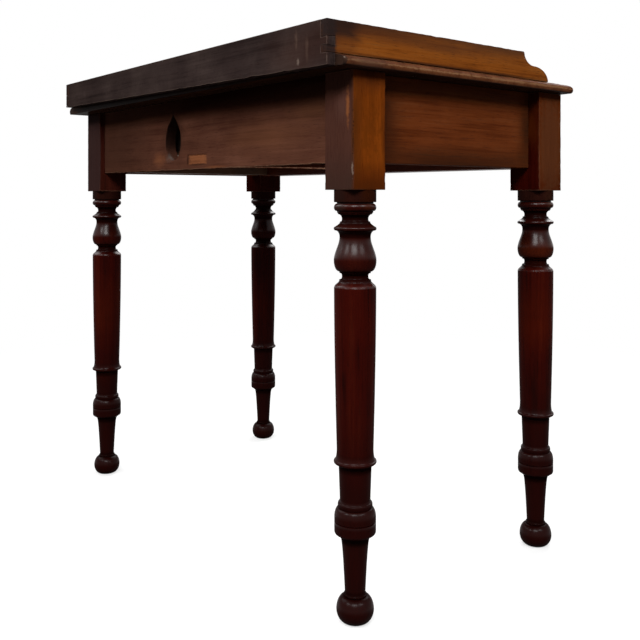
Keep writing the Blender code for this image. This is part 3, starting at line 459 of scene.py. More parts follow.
@dataclass(frozen=True)
class Iron:
    """Dark iron with a skin of rust."""

    name: str
    metal: Colour = (0.090, 0.080, 0.075)
    rust: Colour = (0.075, 0.030, 0.014)
    slot: str = "iron"

    CRUST = 700.0
    CRUST_DEPTH = 0.0003

    def dress(self) -> bpy.types.Material:
        """Makes the material.

        Returns:
            The material.
        """
        bench = Bench(bpy.data.materials.new(self.name))
        crust = bench.noise(self.CRUST, detail=4.0)
        rusty = crust.ramp(0.42, 0.60)
        bench.set(
            Base_Color=bench.blend(rusty, self.metal, self.rust),
            Metallic=1.0 - rusty * 0.9,
            Roughness=0.45 + rusty * 0.35,
            Normal=bench.bump(crust, 0.4, self.CRUST_DEPTH),
        )
        return bench.owner


Finish = Mahogany | Pine | Iron


def gallery_marks(side: int) -> tuple[Mark, ...]:
    """Stains on a gallery side's top edge, back end, top corner and dovetails, and painted shade at its foot.

    Args:
        side: -1 for the left board, 1 for the right one.

    Returns:
        The marks.
    """
    face = side * 0.4151
    corner = (face, 0.262, 0.795)
    return (
        Patch((face, 0.05, 0.7915), (0.02, 0.3, 0.008), (0.055, 0.019, 0.007), 0.6, 0.8, 0.1),
        Patch((face, -0.1, 0.792), (0.02, 0.2, 0.026), (0.05, 0.02, 0.009), 0.75, 0.8, 0.1),
        Mark((face, 0.25, 0.772), (0.012, 0.07, 0.05), (0.034, 0.014, 0.008), 0.6, 0.6),
        # Painted shade in the crease between the board's foot and the top
        Patch((face, 0.03, 0.747), (0.02, 0.24, 0.0055), (0.026, 0.009, 0.004), 1.0, 0.5, 0.3, 0.8),
        Patch(corner, (0.008, 0.29, 0.028), (0.03, 0.012, 0.007), 0.8, 0.6, 0.3, 0.8),
        Patch(corner, (0.008, 0.07, 0.034), (0.02, 0.009, 0.006), 1.0, 0.25, 0.5, 0.5),
        Patch((face, 0.256, 0.769), (0.02, 0.013, 0.05), (0.016, 0.01, 0.009), 1.0, 0.8, 0.6, 0.6, 0.005),
        Mark((face, 0.259, 0.768), (0.003, 0.003, 0.028), DUSTY, 0.9, 3.0, -0.5, 0.3, 0.0016),
    )


def end_rail_shade(side: int) -> tuple[Mark, ...]:
    """Painted shade on an end rail: under the top, beside the two legs and along its lower edge.

    Args:
        side: -1 for the left rail, 1 for the right one.

    Returns:
        The marks.
    """
    face, dark = side * 0.393, (0.022, 0.007, 0.003)
    return (
        # Painted shade: under the top, beside the back leg and the front leg, and along the lower edge
        Patch((face, -0.01, 0.735), (0.01, 0.3, 0.045), dark, 0.45, 0.4),
        Mark((face, 0.16, 0.67), (0.01, 0.075, 0.1), dark, 1.0, 0.6),
        Mark((face, -0.178, 0.67), (0.01, 0.044, 0.09), dark, 0.9, 0.6),
        Patch((face, -0.01, 0.608), (0.01, 0.3, 0.044), dark, 0.9, 0.6),
    )


def drawer_gap_shade() -> tuple[Mark, ...]:
    """Painted shade along the gaps between the drawer front, its rails and its legs.

    Returns:
        Two level marks and two upright ones.
    """
    face, look = -0.2313, (BLACKENED, 0.85, 0.3, 0.7, 0.4)
    # Painted shade, nearly black, in each gap
    level = [Patch((0.0, face, height), (0.36, 0.006, 0.0017), *look) for height in (0.6312, 0.7108)]
    upright = [Patch((side * 0.3556, face, 0.671), (0.0024, 0.006, 0.08), *look) for _, side in SIDES]
    return (*level, *upright)


def leg_marks() -> tuple[Mark, ...]:
    """Dark feet and upper turnings, stains, bare spots and painted shade on the blocks, tones of turnings.

    Returns:
        The marks: feet, upper turnings, the near block, two other blocks, then single vases and shafts.
    """
    end, back, middle = -0.4136, 0.2141, 0.65
    left, near, far = -0.3848, 0.1854, -0.2055
    near_black = (0.008, 0.002, 0.0012)
    return (
        Patch((0.0, 0.0, 0.09), (1.0, 1.0, 0.2), (0.009, 0.001, 0.0006), 0.85, 0.4, 0.3, 0.9, 0.05),
        Patch((0.0, 0.0, 0.52), (1.0, 1.0, 0.05), near_black, 0.55, 0.3, 0.3, 0.9),
        # Painted shade on the near block's end face, beside the end rail
        Mark((end, 0.155, middle), (0.006, 0.012, 0.095), (0.026, 0.006, 0.002), 0.8, 0.8),
        Mark((end, 0.2125, middle), (0.006, 0.02, 0.12), (0.05, 0.014, 0.003), 0.8, 0.8),
        Patch((left, back, 0.575), (0.2, 0.004, 0.07), (0.026, 0.014, 0.011), 0.65, 0.5),
        Mark((-0.39, back, 0.685), (0.02, 0.004, 0.03), (0.085, 0.04, 0.03), 0.35),
        Mark((end, 0.186, 0.574), (0.006, 0.05, 0.04), (0.05, 0.011, 0.002), 1.0, 0.8),
        # Painted shadow of the top on the head of the near block's end face
        Mark((end, 0.186, 0.732), (0.006, 0.05, 0.04), (0.034, 0.009, 0.003), 0.9, 0.6),
        Mark((end, 0.186, middle), (0.006, 0.04, 0.1), (0.075, 0.018, 0.002), 0.45, 2.2, 0.0, 0.5, 0.008),
        Mark((-0.403, back, 0.683), (0.005, 0.004, 0.032), (0.165, 0.055, 0.018), 0.85, 1.2, 0.2, 0.8, 0.006),
        Mark((-0.413, 0.2136, 0.66), (0.0028, 0.0028, 0.085), BLACKENED, 1.0, 3.0, -0.2, 0.4, 0.0025),
        Mark((-0.412, 0.214, 0.6), (0.003, 0.003, 0.02), DUSTY, 0.4, 2.0, 0.0, 0.6, 0.004),
        Mark((-left, back, middle), (0.04, 0.004, 0.11), (0.026, 0.014, 0.0128), 0.85, 0.3, 0.8, 0.3, 0.02),
        Mark((end, far, middle), (0.004, 0.04, 0.11), (0.072, 0.026, 0.011), 0.6, 1.4, 0.4, 0.8, 0.007),
        Patch((left, -0.1767, 0.69), (0.03, 0.004, 0.045), (0.055, 0.01, 0.0012), 0.8, 0.6, 0.3),
        # Painted shade under the bulge of the near leg's vase
        Mark((left, near, 0.475), (0.06, 0.06, 0.025), near_black, 0.45, 0.4),
        Mark((left, far, 0.475), (0.06, 0.06, 0.03), (0.075, 0.014, 0.003), 0.5, 0.4),
        Mark((left, far, 0.37), (0.06, 0.06, 0.09), (0.058, 0.006, 0.0012), 0.6, 0.5),
        Mark((-left, near, 0.34), (0.06, 0.06, 0.1), (0.048, 0.0055, 0.0012), 0.5, 0.5),
    )


def back_rail_marks() -> tuple[Mark, ...]:
    """Painted shade and light, stains and bare spots on the back rail.

    Returns:
        The marks: the face from the top down, the chip, painted light on the hole's lower wall and a crack
            over it.
    """
    face, darkened, stained = 0.203, (0.026, 0.011, 0.007), (0.034, 0.014, 0.009)
    return (
        # Painted shade under the top and the back board, deeper over the near half
        Patch((0.0, face, 0.74), (0.5, 0.006, 0.055), (0.018, 0.006, 0.004), 0.7, 0.4),
        Patch((-0.2, face, 0.75), (0.32, 0.006, 0.05), (0.012, 0.003, 0.0015), 1.0, 0.4, 0.3),
        Mark((-0.2, face, 0.656), (0.16, 0.006, 0.036), (0.125, 0.048, 0.022), 0.5, 0.9, -0.2, 1.3),
        Mark((-0.31, face, 0.685), (0.08, 0.006, 0.02), (0.125, 0.05, 0.022), 0.35, 1.0),
        Mark((0.077, face, 0.664), (0.046, 0.03, 0.058), stained, 0.7, 0.6, 0.3, 0.8),
        Mark((0.128, face, 0.631), (0.032, 0.006, 0.018), RAW_WOOD, 0.6, 0.8, -0.1, 1.1),
        Mark((-0.06, face, 0.6135), (0.045, 0.006, 0.003), RAW_WOOD, 0.7, 1.2),
        Mark((0.3, face, 0.66), (0.15, 0.006, 0.09), darkened, 0.6, 0.7, 0.1, 1.1),
        Patch((-0.0045, face, 0.6275), (0.0335, 0.004, 0.0092), RAW_WOOD, 1.0, 0.6, 0.6, 0.4, 0.005),
        Mark((0.002, face, 0.624), (0.036, 0.004, 0.0042), (0.085, 0.029, 0.012), 0.6, 1.2, speck=0.007),
        Mark((0.0275, face, 0.6265), (0.003, 0.004, 0.01), (0.036, 0.013, 0.008), 0.8, 0.5, 0.3, 0.8),
        # Painted shade along the chip's lower edge
        Mark((-0.0045, face, 0.6188), (0.04, 0.004, 0.0024), (0.036, 0.014, 0.008), 0.8, 0.6, 0.3, 0.8),
        # Painted light on the lower wall of the hole
        Mark((0.092, 0.199, 0.633), (0.016, 0.006, 0.012), (0.13, 0.105, 0.09), 0.6, 0.6, 0.0, 1.1),
        Mark((0.077, face, 0.713), (0.0007, 0.01, 0.01), BLACKENED, 1.0, 0.3, 0.7, 0.4),
    )


def back_board_marks() -> tuple[Mark, ...]:
    """Polish on the inner face of the back gallery board, and painted shade and scratches on its outer face.

    Returns:
        The marks: the inner face, painted shade at the near end, three scratches and the dovetails at both
            ends.
    """
    inner, face, arris = 0.24525, 0.2592, 0.2588
    crumbled = (3.0, -0.5, 0.3, 0.0016)
    return (
        Patch((0.0, inner, 0.7684), (0.403, 0.002, 0.0215), (0.115, 0.034, 0.0075), 0.9, 0.1, 0.9, 0.1, 0.01),
        Patch((0.0, inner, 0.745), (0.403, 0.002, 0.011), (0.02, 0.008, 0.004), 0.8, 0.5, 0.3, 0.8, 0.02),
        # Painted shade at the near end of the outer face
        Mark((-0.375, 0.259, 0.76), (0.12, 0.006, 0.06), (0.026, 0.011, 0.008), 0.6, 0.9, 0.0, 1.1),
        Mark((-0.352, face, 0.772), (0.0045, 0.003, 0.018), (0.1, 0.06, 0.042), 0.35, 1.6),
        Mark((-0.375, face, 0.758), (0.005, 0.003, 0.022), (0.085, 0.05, 0.036), 0.35, 1.6),
        Mark((-0.356, face, 0.742), (0.004, 0.003, 0.006), DUSTY, 0.3, 1.6),
        Mark((-0.4145, arris, 0.765), (0.004, 0.003, 0.034), DUSTY, 0.9, *crumbled),
        Mark((0.412, arris, 0.762), (0.008, 0.003, 0.03), DUSTY, 0.7, *crumbled),
    )


def top_marks() -> tuple[Mark, ...]:
    """Painted shade on the top's underside and back edge, and dirt and bare chips at its back corners.

    Returns:
        The marks: underside, back edge, then each corner with the moulding beside it.
    """
    darkened, corners = (0.02, 0.012, 0.009), []
    for _, side in SIDES:
        corners += [
            Mark((side * 0.428, 0.2445, 0.7395), (0.02, 0.007, 0.012), darkened, 0.9, 0.6, 0.7, 0.4),
            Mark((side * 0.43, 0.243, 0.741), (0.007, 0.005, 0.008), DUSTY, 0.8, 2.5, -0.2, 0.4, 0.003),
            Mark((side * 0.43, 0.2, 0.741), (0.02, 0.045, 0.02), (0.046, 0.022, 0.015), 0.6, 0.7, 0.2),
        ]
    return (
        # Painted shade on the underside and on the back edge under the back board
        Patch((0.0, 0.0, 0.73), (1.0, 1.0, 0.0035), (0.018, 0.007, 0.004), 1.0, 0.2, 0.7, 0.3, 0.01),
        Patch((0.0, 0.2455, 0.738), (0.5, 0.003, 0.015), (0.01, 0.005, 0.004), 1.0, 0.2, 0.7, 0.3, 0.01),
        *corners,
    )


LEG_POLISH = Mahogany(
    "leg_polish",
    Grain.HEIGHT,
    dark=(0.0090, 0.0008, 0.0004),
    middle=(0.0260, 0.0017, 0.0007),
    light=(0.0440, 0.0048, 0.0018),
    worn=(0.0800, 0.0360, 0.0230),
    faded=(0.174, 0.039, 0.0036),
    dull=(0.054, 0.022, 0.015),
    dirt_and_shade=(0.0050, 0.0009, 0.0006),
    rough=0.40,
    polish=0.10,
    shoulders=0.88,
    marks=leg_marks(),
)
END_BROWN = Mahogany(
    "end_rail_polish",
    Grain.DEPTH,
    dark=(0.060, 0.0130, 0.0032),
    middle=(0.096, 0.0225, 0.0055),
    light=(0.130, 0.0370, 0.0105),
    worn=(0.150, 0.070, 0.036),
    rough=0.55,
    polish=0.04,
    streaks=1.25,
    slot="end_mahogany",
    # Painted shade on both end rails
    marks=end_rail_shade(-1) + end_rail_shade(1),
)
GALLERY_ORANGE = Mahogany(
    "gallery_polish",
    Grain.DEPTH,
    dark=(0.090, 0.0220, 0.0030),
    middle=(0.160, 0.0450, 0.0062),
    light=(0.220, 0.0760, 0.0140),
    worn=(0.130, 0.060, 0.028),
    rough=0.50,
    polish=0.05,
    slot="end_mahogany",
    marks=gallery_marks(-1) + gallery_marks(1),
)
BACK_BROWN = Mahogany(
    "back_rail_brown",
    Grain.LENGTH,
    dark=(0.0370, 0.0130, 0.0078),
    middle=(0.0650, 0.0243, 0.0143),
    light=(0.0990, 0.0395, 0.0235),
    worn=(0.160, 0.085, 0.052),
    rough=0.70,
    polish=0.0,
    slot="back_mahogany",
    marks=back_rail_marks(),
)
BLACK_BOARD = Mahogany(
    "back_board_black",
    Grain.LENGTH,
    dark=(0.0130, 0.0085, 0.0078),
    middle=(0.0240, 0.0160, 0.0145),
    light=(0.0380, 0.0260, 0.0235),
    worn=(0.085, 0.060, 0.049),
    rough=0.60,
    polish=0.0,
    dust=0.10,
    slot="dark_board",
    marks=back_board_marks(),
)
TOP_BROWN = Mahogany(
    "top_polish",
    Grain.LENGTH,
    dark=(0.045, 0.0130, 0.0050),
    middle=(0.088, 0.0290, 0.0110),
    light=(0.135, 0.0500, 0.0200),
    worn=(0.150, 0.076, 0.036),
    rough=0.45,
    polish=0.10,
    marks=top_marks(),
)
FRONT_RED = Mahogany(
    "front_polish",
    Grain.LENGTH,
    dark=(0.036, 0.0072, 0.0030),
    middle=(0.074, 0.0165, 0.0062),
    light=(0.115, 0.0320, 0.0115),
    worn=(0.150, 0.070, 0.036),
    rough=0.40,
    polish=0.20,
    gloss=0.01,
    # Painted shade along the drawer's gaps
    marks=drawer_gap_shade(),
)
RAIL_RED = replace(
    FRONT_RED,
    name="front_rail_polish",
    dark=(0.028, 0.0052, 0.0022),
    middle=(0.058, 0.0120, 0.0046),
    light=(0.092, 0.0240, 0.0088),
)
KNOB_RED = Mahogany(
    "knob_polish",
    Grain.DEPTH,
    dark=(0.022, 0.0036, 0.0016),
    middle=(0.050, 0.0095, 0.0038),
    light=(0.085, 0.0210, 0.0078),
    worn=(0.130, 0.058, 0.030),
    rough=0.32,
    polish=0.35,
    gloss=0.02,
)
PINE_LENGTH = Pine("lining_pine_length", Grain.LENGTH)
PINE_DEPTH = Pine("lining_pine_depth", Grain.DEPTH)
# Darkened copy of the lining pine: painted shade for the pieces inside the carcass
PINE_SHADED_LENGTH = Pine(
    "shaded_pine_length",
    Grain.LENGTH,
    pale=(0.060, 0.027, 0.013),
    line=(0.038, 0.015, 0.007),
    dirt_and_shade=BLACKENED,
)
PINE_SHADED_DEPTH = replace(PINE_SHADED_LENGTH, name="shaded_pine_depth", grain=Grain.DEPTH)
IRON = Iron("dark_iron")


def ripple(along: np.ndarray, seed: int, longest: float, shortest: float) -> np.ndarray:
    """Seeded unevenness that is mostly between -1 and 1.

    Formula: the sum of sine waves with random starts, whose lengths fall in equal ratios from
    longest to shortest, over the square root of half their number.

    Args:
        along: Places, in metres.
        seed: Choice of the waves' starts.
        longest: Length of the longest wave.
        shortest: Length of the shortest wave.

    Returns:
        The unevenness at each place.
    """
    starts = np.random.default_rng(seed).uniform(0, 2 * np.pi, WAVES)
    lengths = np.geomspace(longest, shortest, WAVES)
    waves = np.sin(2 * np.pi * along[..., None] / lengths + starts)
    return waves.sum(-1) / math.sqrt(WAVES / 2)


def smooth(share: np.ndarray) -> np.ndarray:
    """Smooth step from 0 to 1: three times the square less twice the cube of the share."""
    share = np.clip(share, 0, 1)
    return share * share * (3 - 2 * share)


def quarter(count: int) -> np.ndarray:
    """Evenly spaced angles from 0 to a quarter turn."""
    return np.linspace(0, np.pi / 2, count)


def read(items: Any, name: str, width: int, kind: type = np.float32) -> np.ndarray:
    """One property of every item of a mesh.

    Args:
        items: The mesh's vertices, triangles or attribute values.
        name: Name of the property.
        width: How many numbers each item has.
        kind: Type of the numbers.

    Returns:
        One row for each item.
    """
    numbers = np.empty(len(items) * width, kind)
    items.foreach_get(name, numbers)
    return numbers.reshape(-1, width)


def tidy_mesh(mesh: bpy.types.Mesh) -> bpy.types.Mesh:
    """Turns a closed mesh's faces outwards and shades it smooth between sharp edges.

    Args:
        mesh: The mesh, which is changed.

    Returns:
        The same mesh.
    """
    solid = bmesh.new()
    solid.from_mesh(mesh)
    bmesh.ops.recalc_face_normals(solid, faces=solid.faces)
    solid.to_mesh(mesh)
    solid.free()
    mesh.shade_smooth()
    mesh.set_sharp_from_angle(angle=SHARP)
    return mesh


def skin(name: str, rings: np.ndarray, tags: Tags | None = None) -> bpy.types.Mesh:
    """Closed mesh through rings of points, with a flat face over the first and the last ring.

    Args:
        name: Name of the mesh.
        rings: Points by ring, by column and by axis; the columns close on themselves.
        tags: Values of each attribute by ring and by column.

    Returns:
        The mesh.
    """
    count, around = rings.shape[:2]
    start = np.arange(count - 1)[:, None] * around
    here = np.arange(around)
    after = np.roll(here, -1)
    corners = (start + here, start + after, start + around + after, start + around + here)
    faces = np.stack(corners, -1).reshape(-1, 4).tolist()
    faces += [here.tolist(), (here + (count - 1) * around).tolist()]
    mesh = bpy.data.meshes.new(name)
    mesh.from_pydata(rings.reshape(-1, 3).tolist(), [], faces)
    for tag, values in (tags or {}).items():
        spread = np.broadcast_to(values, (count, around)).astype(np.float32)
        mesh.attributes.new(tag, "FLOAT", "POINT").data.foreach_set("value", spread.ravel())
    return tidy_mesh(mesh)


def spun(outline: np.ndarray, columns: int) -> tuple[np.ndarray, np.ndarray]:
    """Circles about an axis.

    Formula: a point of the outline gives a circle of its radius at its height. A circle is complex
    numbers of that length at evenly spaced angles.

    Args:
        outline: Radius and height of each ring.
        columns: Number of points in a ring.

    Returns:
        The circles, and the height of each of their points, by ring and by column.
    """
    radius, height = outline.T[..., None]
    circles = radius * np.exp(1j * np.linspace(0, 2 * np.pi, columns + 1)[:-1])
    return circles, np.broadcast_to(height, circles.shape)


@dataclass(frozen=True)
class Outline:
    """A closed anticlockwise outline of straight sides, with a radius at each corner."""

    corners: Sequence[tuple[float, float]]
    radii: Sequence[float]
    step: float
    least: float = 0.00005
    arc_points: int = 5

    def points(self, inset: float = 0.0) -> np.ndarray:
        """Points of the outline, or of a copy of it whose sides have moved inwards.

        Formula: a corner moves along the sum of its sides' inward normals, so stretched that the
        sides move by the inset. Its radius shrinks by the inset where it juts out and grows where
        it juts in. A corner is a parabola that leaves and meets its sides at that radius, or one
        point where it has none; a side is evenly spaced points.

        Args:
            inset: How far the sides have moved.

        Returns:
            The points, as many at every inset.
        """
        corners, radii = np.array(self.corners, float), np.array(self.radii, float)
        ahead = np.roll(corners, -1, 0) - corners
        length = np.linalg.norm(ahead, axis=1)
        ahead = ahead / length[:, None]
        before = np.roll(ahead, 1, 0)
        inward = np.column_stack((-ahead[:, 1], ahead[:, 0]))
        both = inward + np.roll(inward, 1, 0)
        moved = corners + both * (2 * inset / (both * both).sum(1))[:, None]
        juts_out = before[:, 0] * ahead[:, 1] > before[:, 1] * ahead[:, 0]
        reach = np.where(juts_out, np.maximum(radii - inset, self.least), radii + inset)
        reach = np.where(radii > 0, reach, 0)[:, None]
        first, last = moved - before * reach, moved + ahead * reach
        share = np.linspace(0, 1, self.arc_points)[:, None, None]
        arcs = first * (1 - share) ** 2 + moved * 2 * share * (1 - share) + last * share**2
        runs = []
        for index, end in enumerate(np.roll(first, -1, 0)):
            runs.append(arcs[:, index] if radii[index] else moved[index : index + 1])
            count = max(2, math.ceil(length[index] / self.step) + 1)
            between = np.linspace(0, 1, count)[1:-1, None]
            runs.append(last[index] + (end - last[index]) * between)
        return np.concatenate(runs)


def board(
    name: str,
    axis: int,
    faces: tuple[float, float],
    outline: Outline,
    ease: float,
    shifts: tuple[np.ndarray, np.ndarray],
) -> bpy.types.Mesh:
    """A board sawn to an outline, with its arrises eased.

    Formula: the edge profile, a quarter circle at each face and a straight stretch between, is
    carried round the outline. The shift changes evenly from one face to the other.

    Args:
        name: Name of the mesh.
        axis: Axis of the board's thickness.
        faces: Places of its two faces on that axis.
        outline: The outline on the other two axes, in order.
        ease: Radius of the arrises.
        shifts: How far each point of the outline is moved at each face.

    Returns:
        The mesh, with the attribute wear along its arrises.
    """
    thick = abs(faces[1] - faces[0])
    turn = quarter(ARRIS_POINTS)
    insets = np.concatenate(([ease + ARRIS_MARGIN], ease * (1 - np.sin(turn)), [0.0]))
    depths = np.concatenate(([0.0], ease * (1 - np.cos(turn)), [ease + ARRIS_MARGIN]))
    worn = np.concatenate(([0.0], np.ones(len(turn)), [0.0]))
    insets = np.concatenate((insets, insets[::-1]))
    depths = np.concatenate((depths, thick - depths[::-1])) / thick
    worn = np.concatenate((worn, worn[::-1]))
    share = depths[:, None, None]
    flat = np.stack([outline.points(distance) for distance in insets])
    flat = flat + shifts[0] * (1 - share) + shifts[1] * share
    depth = faces[0] + (faces[1] - faces[0]) * depths
    rings = np.insert(flat, axis, np.broadcast_to(depth[:, None], flat.shape[:2]), axis=2)
    return skin(name, rings, {"wear": worn[:, None]})


def carve(mesh: bpy.types.Mesh, cutters: Iterable[bpy.types.Mesh]) -> bpy.types.Mesh:
    """Cuts closed meshes out of a mesh.

    Args:
        mesh: The mesh, which is used up.
        cutters: Meshes to take away, which are used up too.

    Returns:
        What is left, under the first mesh's name.
    """
    scene = bpy.context.scene.collection
    body = bpy.data.objects.new("carving", mesh)
    scene.objects.link(body)
    tools = [bpy.data.objects.new(cutter.name, cutter) for cutter in cutters]
    for tool in tools:
        scene.objects.link(tool)
        boolean = body.modifiers.new(tool.name, "BOOLEAN")
        boolean.operation = "DIFFERENCE"
        boolean.solver = "EXACT"
        boolean.object = tool
    made = bpy.data.meshes.new_from_object(body.evaluated_get(bpy.context.evaluated_depsgraph_get()))
    name = mesh.name
    for used in (body, *tools):
        spent = used.data
        bpy.data.objects.remove(used, do_unlink=True)
        bpy.data.meshes.remove(spent)
    made.name = name
    return tidy_mesh(made)


class Workshop:
    """Finishes, and the one way in which a finished piece joins the table."""

    # Corners of a CAD node that agree to so many decimals are one point
    DECIMALS = 5

    def __init__(self, nodes: dict[str, bpy.types.Object]) -> None:
        """Keeps the CAD nodes by name; materials are made when first asked for."""
        self.nodes = nodes
        self.made: dict[str, bpy.types.Material] = {}

    def coat(self, finish: Finish) -> bpy.types.Material:
        """The material of a finish."""
        if finish.name not in self.made:
            self.made[finish.name] = finish.dress()
        return self.made[finish.name]

    def hang(self, mesh: bpy.types.Mesh, finish: Finish, nodes: Sequence[str], body: str = TABLE) -> None:
        """Makes a mesh a piece of the table.

        Args:
            mesh: The piece's mesh, in place.
            finish: Its finish.
            nodes: CAD nodes that it stands for.
            body: CAD body that it rides on.
        """
        mesh.materials.clear()
        mesh.materials.append(self.coat(finish))
        piece = bpy.data.objects.new(mesh.name, mesh)
        bpy.context.scene.collection.objects.link(piece)
        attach(piece, body)
        if nodes:
            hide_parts(*nodes)
        LOG.info("%s: %d faces, on %s", piece.name, len(mesh.polygons), body)

    def eased(self, node: str, ease: float) -> bpy.types.Mesh:
        """A copy of a CAD node with its arrises taken off.

        Formula: triangle corners that agree to a hundredth of a millimetre become one point,
        level triangles join into one face, and every sharp edge is bevelled in two steps.

        Args:
            node: Name of the node.
            ease: Width of the bevel.

        Returns:
            The mesh.
        """
        source = self.nodes[node].data
        source.calc_loop_triangles()
        corners = read(source.vertices, "co", 3).round(self.DECIMALS)
        points, place = np.unique(corners, axis=0, return_inverse=True)
        triangles = place.ravel()[read(source.loop_triangles, "vertices", 3, np.int32)]
        whole = (triangles != np.roll(triangles, 1, axis=1)).all(axis=1)
        mesh = bpy.data.meshes.new(f"{node}_eased")
        mesh.from_pydata(points.tolist(), [], triangles[whole].tolist())
        solid = bmesh.new()
        solid.from_mesh(mesh)
        bmesh.ops.dissolve_limit(solid, angle_limit=LEVEL, verts=solid.verts, edges=solid.edges)
        sharp = [edge for edge in solid.edges if edge.calc_face_angle(0.0) > SHARP]
        made = bmesh.ops.bevel(
            solid, geom=sharp, offset=ease, segments=2, profile=0.5, affect="EDGES", clamp_overlap=True
        )
        for face in made["faces"]:
            face.smooth = True
        bmesh.ops.recalc_face_normals(solid, faces=solid.faces)
        solid.to_mesh(mesh)
        solid.free()
        return mesh


class Turning:
    """Outline of a turned piece, grown downwards from a first radius and height."""

    STEPS = 9
    TINY = 1e-9

    # Angles, in degrees, at which an outline that turns outwards starts to be rubbed and is bare
    KEPT = 30
    BARE = 100

    def __init__(self, radius: float, height: float) -> None:
        """Starts the outline."""
        self.runs = [np.array([[radius, height]])]

    def _run(self, radius: float, drop: float, across: np.ndarray, down: np.ndarray) -> None:
        """Adds points whose radius and height have changed by the given shares."""
        start, height = self.runs[-1][-1]
        self.runs.append(np.column_stack((start + (radius - start) * across, height - drop * down)))

    def step(self, radius: float) -> None:
        """A square shoulder."""
        self.line(radius, 0.0)

    def line(self, radius: float, drop: float, steps: int = 1) -> None:
        """A straight stretch."""
        share = np.linspace(0, 1, steps + 1)[1:]
        self._run(radius, drop, share, share)

    def round(self, radius: float, drop: float) -> None:
        """A convex quarter of an ellipse."""
        self._quarter(radius, drop, bulging=True)

    def hollow(self, radius: float, drop: float) -> None:
        """A concave quarter of an ellipse."""
        self._quarter(radius, drop, bulging=False)

    def _quarter(self, radius: float, drop: float, bulging: bool) -> None:
        """A quarter of an ellipse.

        Formula: one share is the sine of an angle that grows evenly, the other 1 less its cosine.

        Args:
            radius: Radius at its end.
            drop: How far it comes down.
            bulging: Whether it bulges or is hollow.
        """
        angle = quarter(self.STEPS + 1)[1:]
        quick, slow = np.sin(angle), 1 - np.cos(angle)
        outwards = radius > self.runs[-1][-1][0]
        across, down = (quick, slow) if outwards == bulging else (slow, quick)
        self._run(radius, drop, across, down)

    def ogee(self, radius: float, drop: float) -> None:
        """An S-shaped stretch: the radius follows a smooth step."""
        share = np.linspace(0, 1, 2 * self.STEPS + 1)[1:]
        self._run(radius, drop, smooth(share), share)

    def swell(self, radius: float, drop: float, power: float, steps: int) -> None:
        """A long taper that swells a little: the radius follows a power of the share."""
        share = np.linspace(0, 1, steps + 1)[1:]
        self._run(radius, drop, share**power, share)

    @property
    def height(self) -> float:
        """Height that the outline has come down to."""
        return float(self.runs[-1][-1][1])

    def outline(self) -> np.ndarray:
        """Radius and height of every point."""
        return np.concatenate(self.runs)

    @classmethod
    def worn(cls, outline: np.ndarray, reach: float = 0.0016) -> np.ndarray:
        """How much each point of an outline stands out to be rubbed.

        Formula: the angle by which the outline turns outwards within reach on both sides, from
        none at the smaller of two angles to all at the larger.

        Args:
            outline: Radius and height of every point.
            reach: Distance along the outline.

        Returns:
            A number from 0 to 1 for each point.
        """
        steps = np.diff(outline, axis=0)
        length = np.maximum(np.hypot(*steps.T), cls.TINY)
        along = np.concatenate(([0], np.cumsum(length)))
        heading = np.unwrap(np.arctan2(steps[:, 0], -steps[:, 1]))
        middle = (along[1:] + along[:-1]) / 2
        turned = np.interp(along - reach, middle, heading) - np.interp(along + reach, middle, heading)
        return smooth((np.degrees(turned) - cls.KEPT) / (cls.BARE - cls.KEPT))

    @staticmethod
    def sunk(outline: np.ndarray, reach: float = 0.010, depth: float = 0.009) -> np.ndarray:
        """How deep each point lies between its neighbours.

        Formula: the largest radius within reach above and below, less the point's own radius,
        as a share of the depth.

        Args:
            outline: Radius and height of every point.
            reach: Difference in height within which a point is a neighbour.
            depth: Depth that counts as 1.

        Returns:
            A number from 0 to 1 for each point.
        """
        radius, height = outline.T
        near = np.abs(height[:, None] - height) < reach
        around = np.where(near, radius, 0).max(axis=1)
        return np.clip((around - radius) / depth, 0, 1)

    @classmethod
    def upward(cls, outline: np.ndarray) -> np.ndarray:
        """How far each point faces up, from -1 to 1: the gain of radius over the length it takes."""
        across, down = np.gradient(outline[:, 0]), np.gradient(outline[:, 1])
        return across / np.maximum(np.hypot(across, down), cls.TINY)


